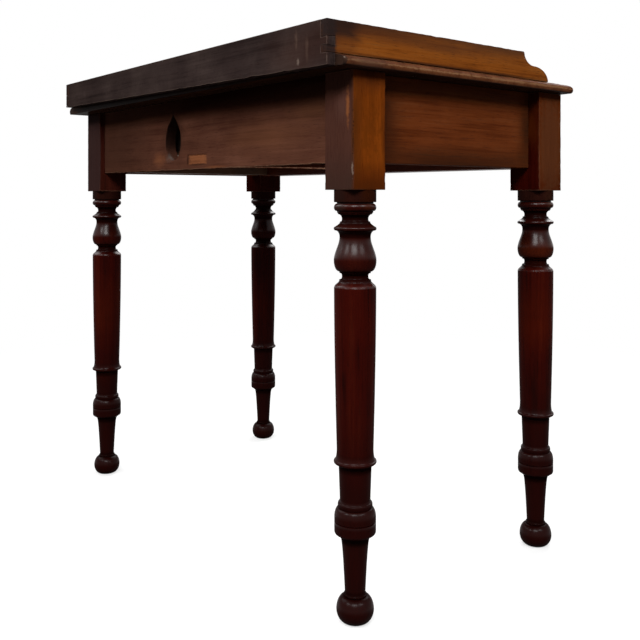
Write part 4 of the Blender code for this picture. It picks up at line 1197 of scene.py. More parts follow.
@dataclass
class TurnedLeg:
    """One leg: a square block over a turning that ends in a ball foot."""

    node: str
    faded: float
    dull: float
    seed: int
    front: float = 0.0
    arris: float = 0.0013
    foot_arris: float = 0.0006
    margin: float = 0.003
    nick: float = 0.0005
    side_points: int = 22
    corner_points: int = 5
    block_rings: int = 30
    block_foot: float = 0.5750
    collar: float = 0.0283
    collar_depth: float = 0.0165
    quirk: float = 0.0246
    cove: float = 0.0176
    ring: float = 0.0286
    vase: float = 0.0285
    neck: float = 0.0208
    shaft: float = 0.0282
    shaft_foot: float = 0.0246
    shaft_end: float = 0.2300
    shaft_ring: float = 0.0287
    drum: float = 0.0220
    knop: float = 0.0279
    ankle: float = 0.0138
    ankle_end: float = 0.0400
    ball: float = 0.0252
    ball_rise: float = 0.0172
    pad: float = 0.0120

    def turning(self) -> np.ndarray:
        """Outline of the turned part.

        Returns:
            Radius and height of each point, from the block's underside to the floor.
        """
        leg = Turning(self.collar, self.block_foot)
        # Collar, quirk and bead
        leg.line(self.collar, 0.0156, 3)
        leg.round(self.collar - 0.0008, 0.0008)
        leg.step(self.quirk)
        leg.line(self.quirk, 0.0019, 2)
        leg.round(self.collar, 0.0052)
        leg.round(0.0250, 0.0046)
        # Two fillets, cove and fillet
        leg.step(0.0242)
        leg.line(0.0241, 0.0024)
        leg.step(0.0231)
        leg.line(0.0229, 0.0018)
        leg.hollow(self.cove, 0.0064)
        leg.hollow(0.0193, 0.0036)
        leg.step(0.0202)
        leg.line(0.0204, 0.0015)
        # Ring, neck and vase
        leg.swell(self.ring - 0.0012, 0.0056, 1.35, 8)
        leg.round(self.ring, 0.0020)
        leg.round(self.ring - 0.0020, 0.0026)
        leg.hollow(self.neck, 0.0085)
        leg.ogee(self.vase, 0.0315)
        leg.round(0.0220, 0.0144)
        # Fillet, cove and fillet
        leg.step(0.0212)
        leg.line(0.0209, 0.0022)
        leg.step(0.0200)
        leg.hollow(self.cove, 0.0046)
        leg.hollow(0.0202, 0.0044)
        leg.step(0.0212)
        leg.line(0.0214, 0.0015)
        # Shaft
        leg.ogee(self.shaft - 0.0004, 0.0080)
        leg.round(self.shaft, 0.0010)
        leg.swell(self.shaft_foot, leg.height - self.shaft_end, 1.6, 44)
        # Ring and drum
        leg.hollow(self.shaft_ring - 0.0008, 0.0148)
        leg.round(self.shaft_ring, 0.0018)
        leg.round(0.0262, 0.0026)
        leg.line(0.0230, 0.0022)
        leg.step(self.drum)
        leg.line(0.0205, 0.0446, 8)
        # Bead, and knop with its groove
        leg.hollow(0.0219, 0.0045)
        leg.round(0.0233, 0.0034)
        leg.round(0.0226, 0.0036)
        leg.step(0.0220)
        leg.round(self.knop, 0.0128)
        leg.line(self.knop, 0.0048, 2)
        leg.line(self.knop - 0.0018, 0.0004)
        leg.line(self.knop - 0.0018, 0.0004)
        leg.line(self.knop, 0.0008)
        leg.line(self.knop, 0.0120, 3)
        leg.round(0.0258, 0.0036)
        leg.line(0.0206, 0.0040)
        # Fillet and ankle
        leg.step(0.0198)
        leg.line(0.0195, 0.0012)
        leg.swell(self.ankle, leg.height - self.ankle_end, 0.58, 16)
        # Ring and ball foot
        leg.hollow(0.0150, 0.0026)
        leg.round(0.0156, 0.0012)
        leg.round(0.0149, 0.0014)
        leg.step(0.0143)
        leg.round(self.ball, leg.height - self.ball_rise)
        leg.round(self.pad, self.ball_rise)
        return leg.outline()

    def section(self, half: float) -> tuple[np.ndarray, np.ndarray, np.ndarray]:
        """Section of the block, as complex numbers.

        Formula: a side and a corner that is an arc, turned by none, one, two and three quarters.

        Args:
            half: Half the width of the block.

        Returns:
            The place of each column, the way it faces, and how far it lies on a corner.
        """
        side = np.linspace(-1, 1, self.side_points) * (half - self.arris)
        turn = quarter(self.corner_points + 2)[1:-1]
        arc = (half - self.arris) * (1 + 1j) + self.arris * np.exp(1j * turn)
        turns = 1j ** np.arange(4)[:, None]
        place = turns * np.concatenate((half + 1j * side, arc))
        facing = turns * np.concatenate((np.ones(len(side)), np.exp(1j * turn)))
        corner = np.concatenate((np.zeros(len(side)), np.sin(2 * turn)))
        return place.ravel(), facing.ravel(), np.tile(corner, 4)

    def block(self, length: float) -> tuple[np.ndarray, np.ndarray, np.ndarray]:
        """Rings of the block from its head down.

        Formula: a quarter circle over the head, evenly spaced rings, and a quarter circle at the
        foot.

        Args:
            length: Height of the block.

        Returns:
            How far each ring lies below the head, how far it is drawn in, and its wear.
        """
        bend = quarter(ARRIS_POINTS)
        back, rim, plain = bend[::-1], np.ones(ARRIS_POINTS), np.zeros(self.block_rings)
        first, last = self.arris + self.margin, length - self.foot_arris - self.margin
        down = np.linspace(first, last, self.block_rings)
        drop = ([0.0], self.arris * (1 - np.cos(bend)), down, length - self.foot_arris * (1 - np.cos(back)))
        inset = ([first], self.arris * (1 - np.sin(bend)), plain, self.foot_arris * (1 - np.sin(back)))
        return np.concatenate(drop), np.concatenate(inset), np.concatenate(([0.0], rim, plain, rim))

    def block_tags(self, facing: np.ndarray, height: np.ndarray, side: int) -> Tags:
        """Bleaching and dulling of the block by the light and the dirt that its faces met.

        Formula: each face counts by the square of how far a column faces its way. The bleaching
        grows up the block.

        Args:
            facing: The way that each column faces.
            height: Height of each ring.
            side: -1 for a left leg, 1 for a right one.

        Returns:
            The attributes faded, by ring and by column, and dull, by column.
        """
        outer, rear = facing.real * side, facing.imag
        faded = np.clip(outer, 0, 1) ** 2 * self.faded + np.clip(-rear, 0, 1) ** 2 * self.front
        dull = np.maximum(np.clip(rear, 0, 1) ** 2 * self.dull, -0.25 * outer)
        sunned = 0.45 + 0.55 * smooth((height - self.block_foot) / 0.05)
        return {"faded": faded * sunned[:, None], "dull": dull}

    def turned_tags(self, outline: np.ndarray) -> Tags:
        """Wear, painted shade, dullness and sheen of the turned part.

        Formula: what stands out is rubbed, what lies deep or faces down gets painted shade,
        and what faces up shines, more so high up. The collar under the block gets painted
        shade and is dull all over.

        Args:
            outline: Radius and height of each ring.

        Returns:
            The attributes wear, dull and sheen, and the one for painted shade, by ring.
        """
        height = outline[:, 1]
        upward = Turning.upward(outline)
        collar = (height > self.block_foot - self.collar_depth).astype(float)
        # Painted shade in hollows, under down-facing turnings and over the collar under the block
        darkened = np.maximum(np.maximum(Turning.sunk(outline), -0.65 * upward), 0.70 * collar)
        shine = smooth((upward - 0.02) / 0.25) * (0.40 + 0.60 * smooth((height - 0.2) / 0.2))
        tags = {"wear": 0.4 * Turning.worn(outline), "painted_shade": darkened, "dull": 0.5 * collar, "sheen": shine}
        return {name: values[:, None] for name, values in tags.items()}

    def build(self) -> bpy.types.Mesh:
        """Makes the leg as one closed surface.

        Formula: every ring has the same columns. In the block a ring is a square with rounded
        corners, in the turning a circle whose points stand at the same angles as the square's.
        The block's corners are pressed in by a seeded ripple.

        Returns:
            The mesh, with the attributes wear, faded, dull, dry and sheen, and the one for painted shade.
        """
        low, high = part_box(self.node)
        half = (high.x - low.x) / 2
        square, facing, corner = self.section(half)
        drop, inset, rim = self.block(high.z - self.block_foot)
        height = high.z - drop
        nick = np.maximum(ripple(height, self.seed, 0.09, 0.006), 0) * self.nick
        block = square * (1 - inset[:, None] / half - corner * nick[:, None] / half)
        outline = self.turning()
        turned = outline[:, 0][:, None] * np.exp(1j * np.angle(square))
        plan = np.concatenate((block, turned))
        heights = np.broadcast_to(np.concatenate((height, outline[:, 1]))[:, None], plan.shape)
        middle_x, middle_y = (low.x + high.x) / 2, (low.y + high.y) / 2
        rings = np.stack((plan.real + middle_x, plan.imag + middle_y, heights), -1)

        above = self.block_tags(facing, height, 1 if low.x > 0 else -1)
        above |= {"wear": np.maximum(corner, rim[:, None]), "dry": np.ones((1, 1))}
        below = self.turned_tags(outline)
        none = np.zeros((1, 1))
        tags = {}
        for name in ("wear", "painted_shade", "faded", "dull", "dry", "sheen"):
            upper = np.broadcast_to(above.get(name, none), block.shape)
            tags[name] = np.concatenate((upper, np.broadcast_to(below.get(name, none), turned.shape)))
        return skin(f"turned_{self.node}", rings, tags)


@dataclass
class Legs:
    """The four legs."""

    legs: tuple[TurnedLeg, ...] = (
        TurnedLeg("leg_back_left", faded=1.0, dull=1.0, seed=11),
        TurnedLeg("leg_back_right", faded=0.8, dull=0.25, seed=12),
        TurnedLeg("leg_front_left", faded=0.40, dull=0.0, seed=13, front=0.24),
        TurnedLeg("leg_front_right", faded=0.40, dull=0.0, seed=14, front=0.24),
    )

    def dress(self, shop: Workshop) -> None:
        """Builds and hangs every leg."""
        for leg in self.legs:
            shop.hang(leg.build(), LEG_POLISH, [leg.node])


@dataclass
class Top:
    """The top board, moulded on both ends and the front."""

    node: str = "table_top"
    thumb: float = 0.0170
    nose: float = 0.0060
    undercut: float = 0.0040
    quirk: float = 0.0015
    lap: float = 0.0030
    corner: float = 0.0050
    least_corner: float = 0.0004
    worn_band: float = 0.0030
    dirty_band: float = 0.0008
    bruise: float = 0.00018
    seed: int = 21
    edge_points: int = 10
    end_points: int = 60
    corner_points: int = 7
    front_points: int = 110

    def edge(self, thick: float) -> np.ndarray:
        """Edge profile from the underside up.

        Formula: a quarter ellipse under the nose, a longer flat quarter ellipse over it, a
        square quirk, and a small round on to the surface.

        Args:
            thick: Thickness of the board.

        Returns:
            Inset, height, wear and painted shade at each point.
        """
        bend = quarter(self.edge_points)
        under = np.column_stack((self.undercut * (1 - np.sin(bend)), self.nose * (1 - np.cos(bend))))
        rise = thick - self.nose - self.quirk
        over = np.column_stack((self.thumb * (1 - np.cos(bend)), self.nose + rise * np.sin(bend)))
        step = np.array(
            [
                (self.thumb + 0.0001, thick - self.quirk * 0.6),
                (self.thumb + 0.0002, thick - 0.0003),
                (self.thumb + 0.0006, thick),
                (self.thumb + self.lap, thick),
            ]
        )
        points = np.concatenate(([(self.undercut + self.lap, 0.0)], under, over[1:], step))
        wear = np.exp(-(((points[:, 1] - self.nose - 0.001) / self.worn_band) ** 2))
        wear[-3:-1] = 1.0
        wear[0] = 0.0
        # Painted shade in the quirk where the moulding meets the flat of the top
        dirt_and_shade = np.exp(-(((points[:, 1] - thick + self.quirk) / self.dirty_band) ** 2)) * 0.8
        dirt_and_shade[-3:] = 0.0
        return np.column_stack((points, wear, dirt_and_shade))

    def dress(self, shop: Workshop) -> None:
        """Carries the edge profile round the two ends and the front, and closes it at the back.

        Formula: each ring is the plan of the board moved in by the profile's inset, its front
        corners quarter circles whose radius shrinks by the inset.

        Args:
            shop: Workshop that hangs the piece.
        """
        low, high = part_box(self.node)
        inset, height, wear, dirt_and_shade = self.edge(high.z - low.z).T[..., None]
        end, front = high.x - inset, low.y + inset
        radius = np.maximum(self.corner - inset, self.least_corner)
        bend = quarter(self.corner_points + 2)[1:-1]
        end_y = high.y + (front + radius - high.y) * np.linspace(0, 1, self.end_points)
        arc_x, arc_y = -end + radius * (1 - np.cos(bend)), front + radius * (1 - np.sin(bend))
        front_x = (end - radius) * np.linspace(-1, 1, self.front_points)
        x = np.concatenate((-end + 0 * end_y, arc_x, front_x, -arc_x[:, ::-1], end + 0 * end_y), 1)
        y = np.concatenate((end_y, arc_y, front + 0 * front_x, arc_y[:, ::-1], end_y[:, ::-1]), 1)
        bruise = ripple(x - y, self.seed, 0.11, 0.012) * self.bruise * wear
        z = low.z + height + 0 * x - np.abs(bruise)
        mesh = skin("moulded_top", np.stack((x, y, z), -1), {"wear": wear, "painted_shade": dirt_and_shade})
        shop.hang(mesh, TOP_BROWN, [self.node])


@dataclass
class Gallery:
    """The low gallery: a back board and two scrolled side boards, dovetailed at the corners."""

    ease: float = 0.0008
    fit: float = 0.0003
    step: float = 0.006
    tail: float = 0.0210
    pin: float = 0.0135
    flare: float = 0.0015
    drop_left: float = 0.0160
    drop_right: float = 0.0033
    cove_length: float = 0.0250
    cove_drop: float = 0.0205
    swell_length: float = 0.0355
    scroll_points: int = 16
    dent: float = 0.0003
    dent_band: float = 0.004
    dent_seed: int = 31
    torn: float = 0.0002
    gouge: float = 0.0010
    gouge_from: float = 0.8
    torn_band: float = 0.002
    torn_seed: int = 41
    touch: float = 0.0004

    def scroll(self, front: float, low: float, high: float) -> np.ndarray:
        """Front end of a side board.

        Formula: a hollow quarter ellipse, then a bulging one.

        Args:
            front: Place of the front end on Y.
            low: Height of the board's foot.
            high: Height of its top edge.

        Returns:
            Places on Y and Z, from the top edge to the foot.
        """
        bend = quarter(self.scroll_points)
        start = front + self.swell_length + self.cove_length
        cove = (start - self.cove_length * (1 - np.cos(bend)), high - self.cove_drop * np.sin(bend))
        fall = high - low - self.cove_drop
        swell = (front + self.swell_length * (1 - np.sin(bend)), low + fall * np.cos(bend))
        return np.concatenate((np.column_stack(cove)[3:], np.column_stack(swell)[1:-1]))

    def side(self, shop: Workshop, name: str) -> None:
        """One side board, with a notch for the back board's pin.

        Args:
            shop: Workshop that hangs the piece.
            name: The side, left or right.
        """
        node = f"gallery_side_{name}"
        low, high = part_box(node)
        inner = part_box("gallery_back")[0].y - self.fit
        pin_high = high.z - self.tail
        pin_low = pin_high - self.pin
        corners = [
            (low.y, low.z),
            (high.y, low.z),
            (high.y, pin_low + self.flare),
            (inner, pin_low),
            (inner, pin_high),
            (high.y, pin_high - self.flare),
            (high.y, high.z),
            (low.y + self.swell_length + self.cove_length, high.z),
        ]
        radii = [0.0006, 0.0006, 0.0003, 0.0001, 0.0001, 0.0003, 0.0012, 0.0030]
        scroll = self.scroll(low.y, low.z, high.z).tolist()
        outline = Outline(corners + scroll, radii + [0.0] * len(scroll), self.step)
        along, level = outline.points().T
        top_edge = np.clip((level - high.z + self.dent_band) / self.dent_band, 0, 1)
        dents = np.zeros((len(along), 2))
        dents[:, 1] = -top_edge * np.abs(ripple(along, self.dent_seed, 0.16, 0.02)) * self.dent
        mesh = board(f"scrolled_{node}", 0, (low.x, high.x), outline, self.ease, (dents, dents))
        shop.hang(mesh, GALLERY_ORANGE, [node])

    def back(self, shop: Workshop) -> None:
        """The back board, whose lower edge was sawn on a slant and is ragged.

        Args:
            shop: Workshop that hangs the piece.
        """
        node = "gallery_back"
        low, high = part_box(node)
        side_low, side_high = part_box("gallery_side_right")
        surface = side_low.z - self.fit
        inner = side_low.x - self.fit
        pin_high = side_high.z - self.tail - self.fit
        pin_low = side_high.z - self.tail - self.pin + self.fit
        right = [
            (high.x, surface - self.drop_right),
            (high.x, surface),
            (inner, surface),
            (inner, pin_low),
            (high.x, pin_low),
            (high.x, pin_high),
            (inner, pin_high),
            (inner, high.z),
        ]
        left = [(-x, z) for x, z in right[::-1]]
        left[-1] = (-high.x, surface - self.drop_left)
        radii = [0.0008] + [0.0002] * 6 + [0.0008]
        outline = Outline(right + left, radii + radii, self.step)
        along, level = outline.points().T
        part = (along + high.x) / (2 * high.x)
        edge = surface - self.drop_left + (self.drop_left - self.drop_right) * part
        lower = np.clip(1 - (level - edge) / self.torn_band, 0, 1)
        torn = ripple(along, self.torn_seed, 0.09, 0.011)
        gouge = np.maximum(torn - self.gouge_from, 0) * self.gouge * (along < 0)
        ragged = np.zeros((len(along), 2))
        ragged[:, 1] = lower * (torn * self.torn + gouge)
        narrowed = ragged.copy()
        at_pin = np.abs(along) > inner - self.touch
        narrowed[:, 1] += self.flare * (at_pin & (np.abs(level - pin_low) < self.touch))
        narrowed[:, 1] -= self.flare * (at_pin & (np.abs(level - pin_high) < self.touch))
        mesh = board("back_gallery_board", 1, (low.y, high.y), outline, self.ease, (ragged, narrowed))
        shop.hang(mesh, BLACK_BOARD, [node])

    def dress(self, shop: Workshop) -> None:
        """Builds and hangs the three boards."""
        for name, _ in SIDES:
            self.side(shop, name)
        self.back(shop)


@dataclass
class BackRail:
    """The back rail with its worn hole, a chip broken out of its face and a sprung sliver."""

    node: str = "back_rail"
    ease: float = 0.0010
    step: float = 0.008
    corner: float = 0.0004
    tenon: float = 0.0243
    dent: float = 0.0005
    dent_seed: int = 81
    band: float = 0.002
    hole_x: float = 0.0770
    hole_half: float = 0.0270
    hole_rise: float = 0.0160
    hole_round: float = 0.0340
    hole_point: float = 0.0470
    hole_mean: float = 0.03
    hole_uneven: float = 0.012
    hole_seed: int = 51
    chip_x: tuple[float, float] = (-0.0360, 0.0270)
    chip_z: tuple[float, float] = (0.6190, 0.6360)
    chip_depth: float = 0.0011
    chip_seeds: tuple[int, int] = (61, 62)
    sliver_start: float = -0.096
    sliver_drop: float = 0.0072
    sliver_wide: Point = (0.0016, 0.0030, 0.0003)
    sliver_tall: Point = (0.0010, 0.0016, 0.0002)
    sliver_rings: int = 70
    sliver_sides: int = 8
    sliver_seeds: tuple[int, int] = (71, 72)

    def hole(self, faces: tuple[float, float], foot: float) -> bpy.types.Mesh:
        """Cutter for the hole: an egg drawn out to a point, flared where hands wore it.

        Formula: below its widest line the outline is half an ellipse; above it the height is
        the square root of 1 less the share of the half width. Each ring is that outline about
        its middle, larger towards the outer face, with a seeded ripple.

        Args:
            faces: Places of the rail's inner and outer face on Y.
            foot: Height of the rail's lower edge.

        Returns:
            The cutter, with the attribute wear and the one for painted shade.
        """
        middle = foot + self.hole_rise + self.hole_round
        angle = np.linspace(np.pi, 2 * np.pi, 40)
        across = np.sin(np.linspace(np.pi / 2, -np.pi / 2, 50))[1:-1]
        x = np.concatenate((np.cos(angle), across)) * self.hole_half
        egg, point = np.sin(angle) * self.hole_round, np.sqrt(1 - np.abs(across)) * self.hole_point
        z = np.concatenate((egg, point))
        share = np.array([-0.4, 0.0, 0.3, 0.6, 0.8, 0.9, 0.95, 0.985, 1.0, 1.05])[:, None]
        grow = np.array([1.0, 1.0, 0.99, 0.985, 0.985, 0.985, 0.99, 1.0, 1.02, 1.10])[:, None]
        depth = np.broadcast_to(faces[0] + (faces[1] - faces[0]) * share, (len(share), len(x)))
        bow = 1 + self.hole_uneven * ripple(np.arctan2(z, x) * self.hole_mean, self.hole_seed, 0.19, 0.012)
        rings = np.stack((self.hole_x + x * bow * grow, depth, middle + z * bow * (0.4 + 0.6 * grow)), -1)
        return skin("hole_cutter", rings, {"wear": np.zeros(1), "painted_shade": np.full(1, 0.3)})

    def chip(self, face: float) -> bpy.types.Mesh:
        """Cutter for the chip: a shallow splintered oblong.

        Formula: three copies of the oblong's outline, each larger and further out than the last,
        with a seeded ripple.

        Args:
            face: Place of the rail's outer face on Y.

        Returns:
            The cutter.
        """
        (left, right), (foot, head) = self.chip_x, self.chip_z
        corners = [(left, foot), (right, foot), (right, head), (left, head)]
        outline = Outline(corners, [0.0008] * 4, 0.003)
        flat = np.stack([outline.points(inset) for inset in (0.0006, 0.0, -0.0004)])
        torn_x = ripple(flat[..., 1], self.chip_seeds[0], 0.02, 0.003) * 0.0009
        torn_z = ripple(flat[..., 0], self.chip_seeds[1], 0.05, 0.006) * 0.0006
        depth = face + np.array([[-1.0], [0.2], [2.0]]) * self.chip_depth
        return skin("chip_cutter", np.insert(flat + np.stack((torn_x, torn_z), -1), 1, depth, axis=2))

    def soil(self, mesh: bpy.types.Mesh, low: Any, high: Any) -> None:
        """Keeps wear to the rail's own arrises and paints shade inside the hole, more towards its head.

        Args:
            mesh: The pierced rail, whose wear and painted shade attributes are changed.
            low: Lowest corner of the rail between its shoulders.
            high: Highest corner.
        """
        x, y, z = read(mesh.vertices, "co", 3).T
        outer = (np.abs(x) > high.x - self.band) | (z < low.z + self.band) | (z > high.z - self.band)
        pierced = ~outer & (y < high.y - 0.0001) & (np.abs(x - self.hole_x) < 2 * self.hole_half)
        wear = mesh.attributes["wear"].data
        wear.foreach_set("value", read(wear, "value", 1).ravel() * outer)
        # Painted shade inside the hole, deeper towards its head
        dirt_and_shade = pierced * (0.30 + 0.60 * smooth((z - low.z - 0.024) / 0.030))
        mesh.attributes["painted_shade"].data.foreach_set("value", dirt_and_shade.astype(np.float32))

    def sliver(self, shop: Workshop, low: Any, high: Any) -> None:
        """A sliver split off the lower arris, sprung down towards the left leg.

        Formula: an eight-sided section, thicker and lower towards the leg, is carried along X. Its
        width and height are each a start, plus a gain by the share, plus a seeded ripple.

        Args:
            shop: Workshop that hangs the piece.
            low: Lowest corner of the rail between its shoulders.
            high: Highest corner.
        """
        share = np.linspace(0, 1, self.sliver_rings)[:, None]
        x = self.sliver_start + (low.x - self.sliver_start) * share
        wide, tall = (
            start + gain * share + uneven * ripple(x[:, 0], seed, 0.06, 0.01)[:, None]
            for (start, gain, uneven), seed in zip((self.sliver_wide, self.sliver_tall), self.sliver_seeds)
        )
        angle = np.linspace(0, 2 * np.pi, self.sliver_sides + 1)[:-1] + 0.3
        y = high.y - 0.0004 - wide * (1 - np.cos(angle)) / 2
        z = low.z + 0.0008 - self.sliver_drop * share**1.5 - tall * (1 - np.sin(angle)) / 2
        rings = np.stack((np.broadcast_to(x, y.shape), y, z), -1)
        shop.hang(skin("back_rail_sliver", rings, {"wear": np.full(1, 0.8)}), BACK_BROWN, [])

    def dress(self, shop: Workshop) -> None:
        """Builds and hangs the rail, cut between its shoulders, and its sliver.

        Args:
            shop: Workshop that hangs the pieces.
        """
        low, high = (corner.copy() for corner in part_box(self.node))
        low.x += self.tenon
        high.x -= self.tenon
        corners = [(low.x, low.z), (high.x, low.z), (high.x, high.z), (low.x, high.z)]
        outline = Outline(corners, [self.corner] * 4, self.step)
        along, level = outline.points().T
        lower = np.clip(1 - (level - low.z) / self.band, 0, 1)
        dents = np.zeros((len(along), 2))
        dents[:, 1] = lower * np.maximum(ripple(along, self.dent_seed, 0.12, 0.014), -0.2) * self.dent
        mesh = board("pierced_back_rail", 1, (low.y, high.y), outline, self.ease, (dents, dents))
        mesh = carve(mesh, (self.hole((low.y, high.y), low.z), self.chip(high.y)))
        self.soil(mesh, low, high)
        shop.hang(mesh, BACK_BROWN, [self.node])
        self.sliver(shop, low, high)


@dataclass
class Knobs:
    """Two turned knobs with spigots through the drawer front."""

    columns: int = 56
    eye: float = 0.0030
    head: float = 0.0190
    waist: float = 0.0090
    foot: float = 0.0130
    spigot: float = 0.0070
    reach: float = 0.0280
    lift: float = 0.0003

    def outline(self, spigot_length: float) -> np.ndarray:
        """Outline along the knob's axis.

        Args:
            spigot_length: Thickness of the drawer front.

        Returns:
            Radius and distance out from the drawer's face, from the head to the spigot's end.
        """
        knob = Turning(self.eye, self.reach)
        knob.round(0.0155, 0.0022)
        knob.round(self.head, 0.0060)
        knob.round(0.0100, 0.0076)
        knob.hollow(self.waist, 0.0012)
        knob.hollow(0.0120, 0.0066)
        knob.round(self.foot, 0.0010)
        knob.line(self.foot, 0.0020)
        knob.round(0.0124, 0.0008)
        knob.line(self.spigot, knob.height - self.lift)
        knob.line(self.spigot, spigot_length + self.lift)
        return knob.outline()

    def dress(self, shop: Workshop) -> None:
        """Turns each outline about an axis along Y.

        Formula: a ring is a circle of the outline's radius at the outline's distance out from
        the drawer's face.

        Args:
            shop: Workshop that hangs the pieces.
        """
        face, rear = (corner.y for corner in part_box("drawer_front"))
        outline = self.outline(rear - face)
        circle, out = spun(outline, self.columns)
        # Painted shade in the knob's hollows; rubbed where it stands out
        wear, painted_shade = Turning.worn(outline) * 0.6, Turning.sunk(outline, 0.006, 0.010) * 0.8
        for name, _ in SIDES:
            node = f"drawer_knob_{name}"
            low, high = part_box(node)
            middle = (low + high) / 2
            rings = np.stack((middle.x + circle.real, face - out, middle.z + circle.imag), -1)
            mesh = skin(f"turned_{node}", rings, {"wear": wear[:, None], "painted_shade": painted_shade[:, None]})
            shop.hang(mesh, KNOB_RED, [node], DRAWER)


@dataclass
class Fastenings:
    """Slotted screws and rose-headed nails of dark iron."""

    columns: int = 24
    slot: float = 0.0010
    slot_depth: float = 0.0012
    screw_point: float = 0.0040
    screw_head: float = 0.0030
    screw_cone: float = 0.0026
    screw_rim: float = 0.0002
    point_share: float = 0.42
    shank_share: float = 0.48
    rim_share: float = 0.94
    nail_point: float = 0.0020
    nail_head: float = 0.0012

    def screw(self, shop: Workshop, node: str) -> None:
        """One countersunk screw that points up, with a slot across its head.

        Args:
            shop: Workshop that hangs the piece.
            node: Name of the screw's CAD node.
        """
        low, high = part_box(node)
        middle = (low + high) / 2
        head = (high.x - low.x) / 2
        shank = Turning(0.0004, high.z)
        shank.line(head * self.point_share, self.screw_point, 4)
        shank.line(head * self.shank_share, high.z - low.z - self.screw_point - self.screw_head, 6)
        shank.line(head, self.screw_cone, 2)
        shank.line(head, self.screw_rim)
        shank.line(head * self.rim_share, self.screw_rim)
        circle, height = spun(shank.outline(), self.columns)
        rings = np.stack((middle.x + circle.real, middle.y + circle.imag, height), -1)
        reach = np.array([[-1, -1], [1, -1], [1, 1], [-1, 1]]) * (self.slot / 2, head * 1.2)
        plan = np.broadcast_to(reach + (middle.x, middle.y), (2, 4, 2))
        depth = low.z + np.array([-1, 1])[:, None] * self.slot_depth + np.zeros((2, 4))
        cutter = skin("slot_cutter", np.concatenate((plan, depth[..., None]), 2))
        shop.hang(carve(skin(f"{node}_slotted", rings), [cutter]), IRON, [node])

    def nail(self, shop: Workshop, node: str) -> None:
        """One nail that points to the front, with a domed head.

        Args:
            shop: Workshop that hangs the piece.
            node: Name of the nail's CAD node.
        """
        low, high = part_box(node)
        middle = (low + high) / 2
        head = (high.z - low.z) / 2
        nail = Turning(0.0003, 0.0)
        nail.round(head * 0.9, 0.0004)
        nail.line(head, 0.0004)
        nail.line(head * 0.9, 0.0004)
        nail.step(head / 2)
        nail.line(head / 2, high.y - low.y - self.nail_head - self.nail_point, 4)
        nail.line(0.0002, self.nail_point)
        circle, out = spun(nail.outline(), self.columns)
        rings = np.stack((middle.x + circle.real, high.y + out, middle.z + circle.imag), -1)
        shop.hang(skin(f"{node}_domed", rings), IRON, [node])

    def dress(self, shop: Workshop) -> None:
        """Builds and hangs every screw and nail.

        Args:
            shop: Workshop that hangs the pieces.
        """
        for node in sorted(shop.nodes):
            if "_screw_" in node:
                self.screw(shop, node)
            elif "_nail_" in node:
                self.nail(shop, node)


@dataclass
class Boards:
    """Plain boards with their joinery: rails, drawer box, runners, guides, kickers and blocks."""

    ease: float = 0.0007

    # Finish of the boards whose names start so; the rest are of pale pine
    FINISHES = (
        (("end_rail",), END_BROWN),
        (("front",), RAIL_RED),
        (("drawer_front",), FRONT_RED),
        # Pieces inside the carcass take the darkened pine, which is painted shade
        (("glue_block", "drawer_stop", "drawer_back"), PINE_SHADED_LENGTH),
        (("drawer_runner", "drawer_guide", "drawer_kicker"), PINE_SHADED_DEPTH),
        (("drawer_bottom",), PINE_LENGTH),
    )

    def dress(self, shop: Workshop) -> None:
        """Eases and hangs every board that still shows its CAD node.

        Args:
            shop: Workshop that hangs the pieces.
        """
        for node in sorted(shop.nodes):
            if shop.nodes[node].hide_render:
                continue
            body = DRAWER if shop.nodes[node]["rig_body"] == DRAWER else TABLE
            shop.hang(shop.eased(node, self.ease), self.finish(node), [node], body)

    def finish(self, node: str) -> Finish:
        """Finish of a board by its name."""
        return next((finish for starts, finish in self.FINISHES if node.startswith(starts)), PINE_DEPTH)


@dataclass(frozen=True)
class Lamp:
    """A soft box aimed at the table: where it stands, its size and its brightness."""

    name: str
    azimuth: float
    elevation: float
    distance: float
    width: float
    height: float
    radiance: float

    def hang(self, aim: Point) -> None:
        """Makes the lamp; its power is pi times its area times its radiance.

        Args:
            aim: Place that it faces.
        """
        data = bpy.data.lights.new(self.name, "AREA")
        data.shape = "RECTANGLE"
        data.size, data.size_y = self.width, self.height
        data.energy = math.pi * self.width * self.height * self.radiance
        turn, rise = math.radians(self.azimuth), math.radians(self.elevation)
        level = math.cos(rise)
        away = np.array([math.sin(turn) * level, -math.cos(turn) * level, math.sin(rise)])
        box = bpy.data.objects.new(self.name, data)
        box.location = np.array(aim) + away * self.distance
        box.rotation_euler = (math.pi / 2 - rise, 0, turn)
        box.visible_camera = False
        bpy.context.scene.collection.objects.link(box)


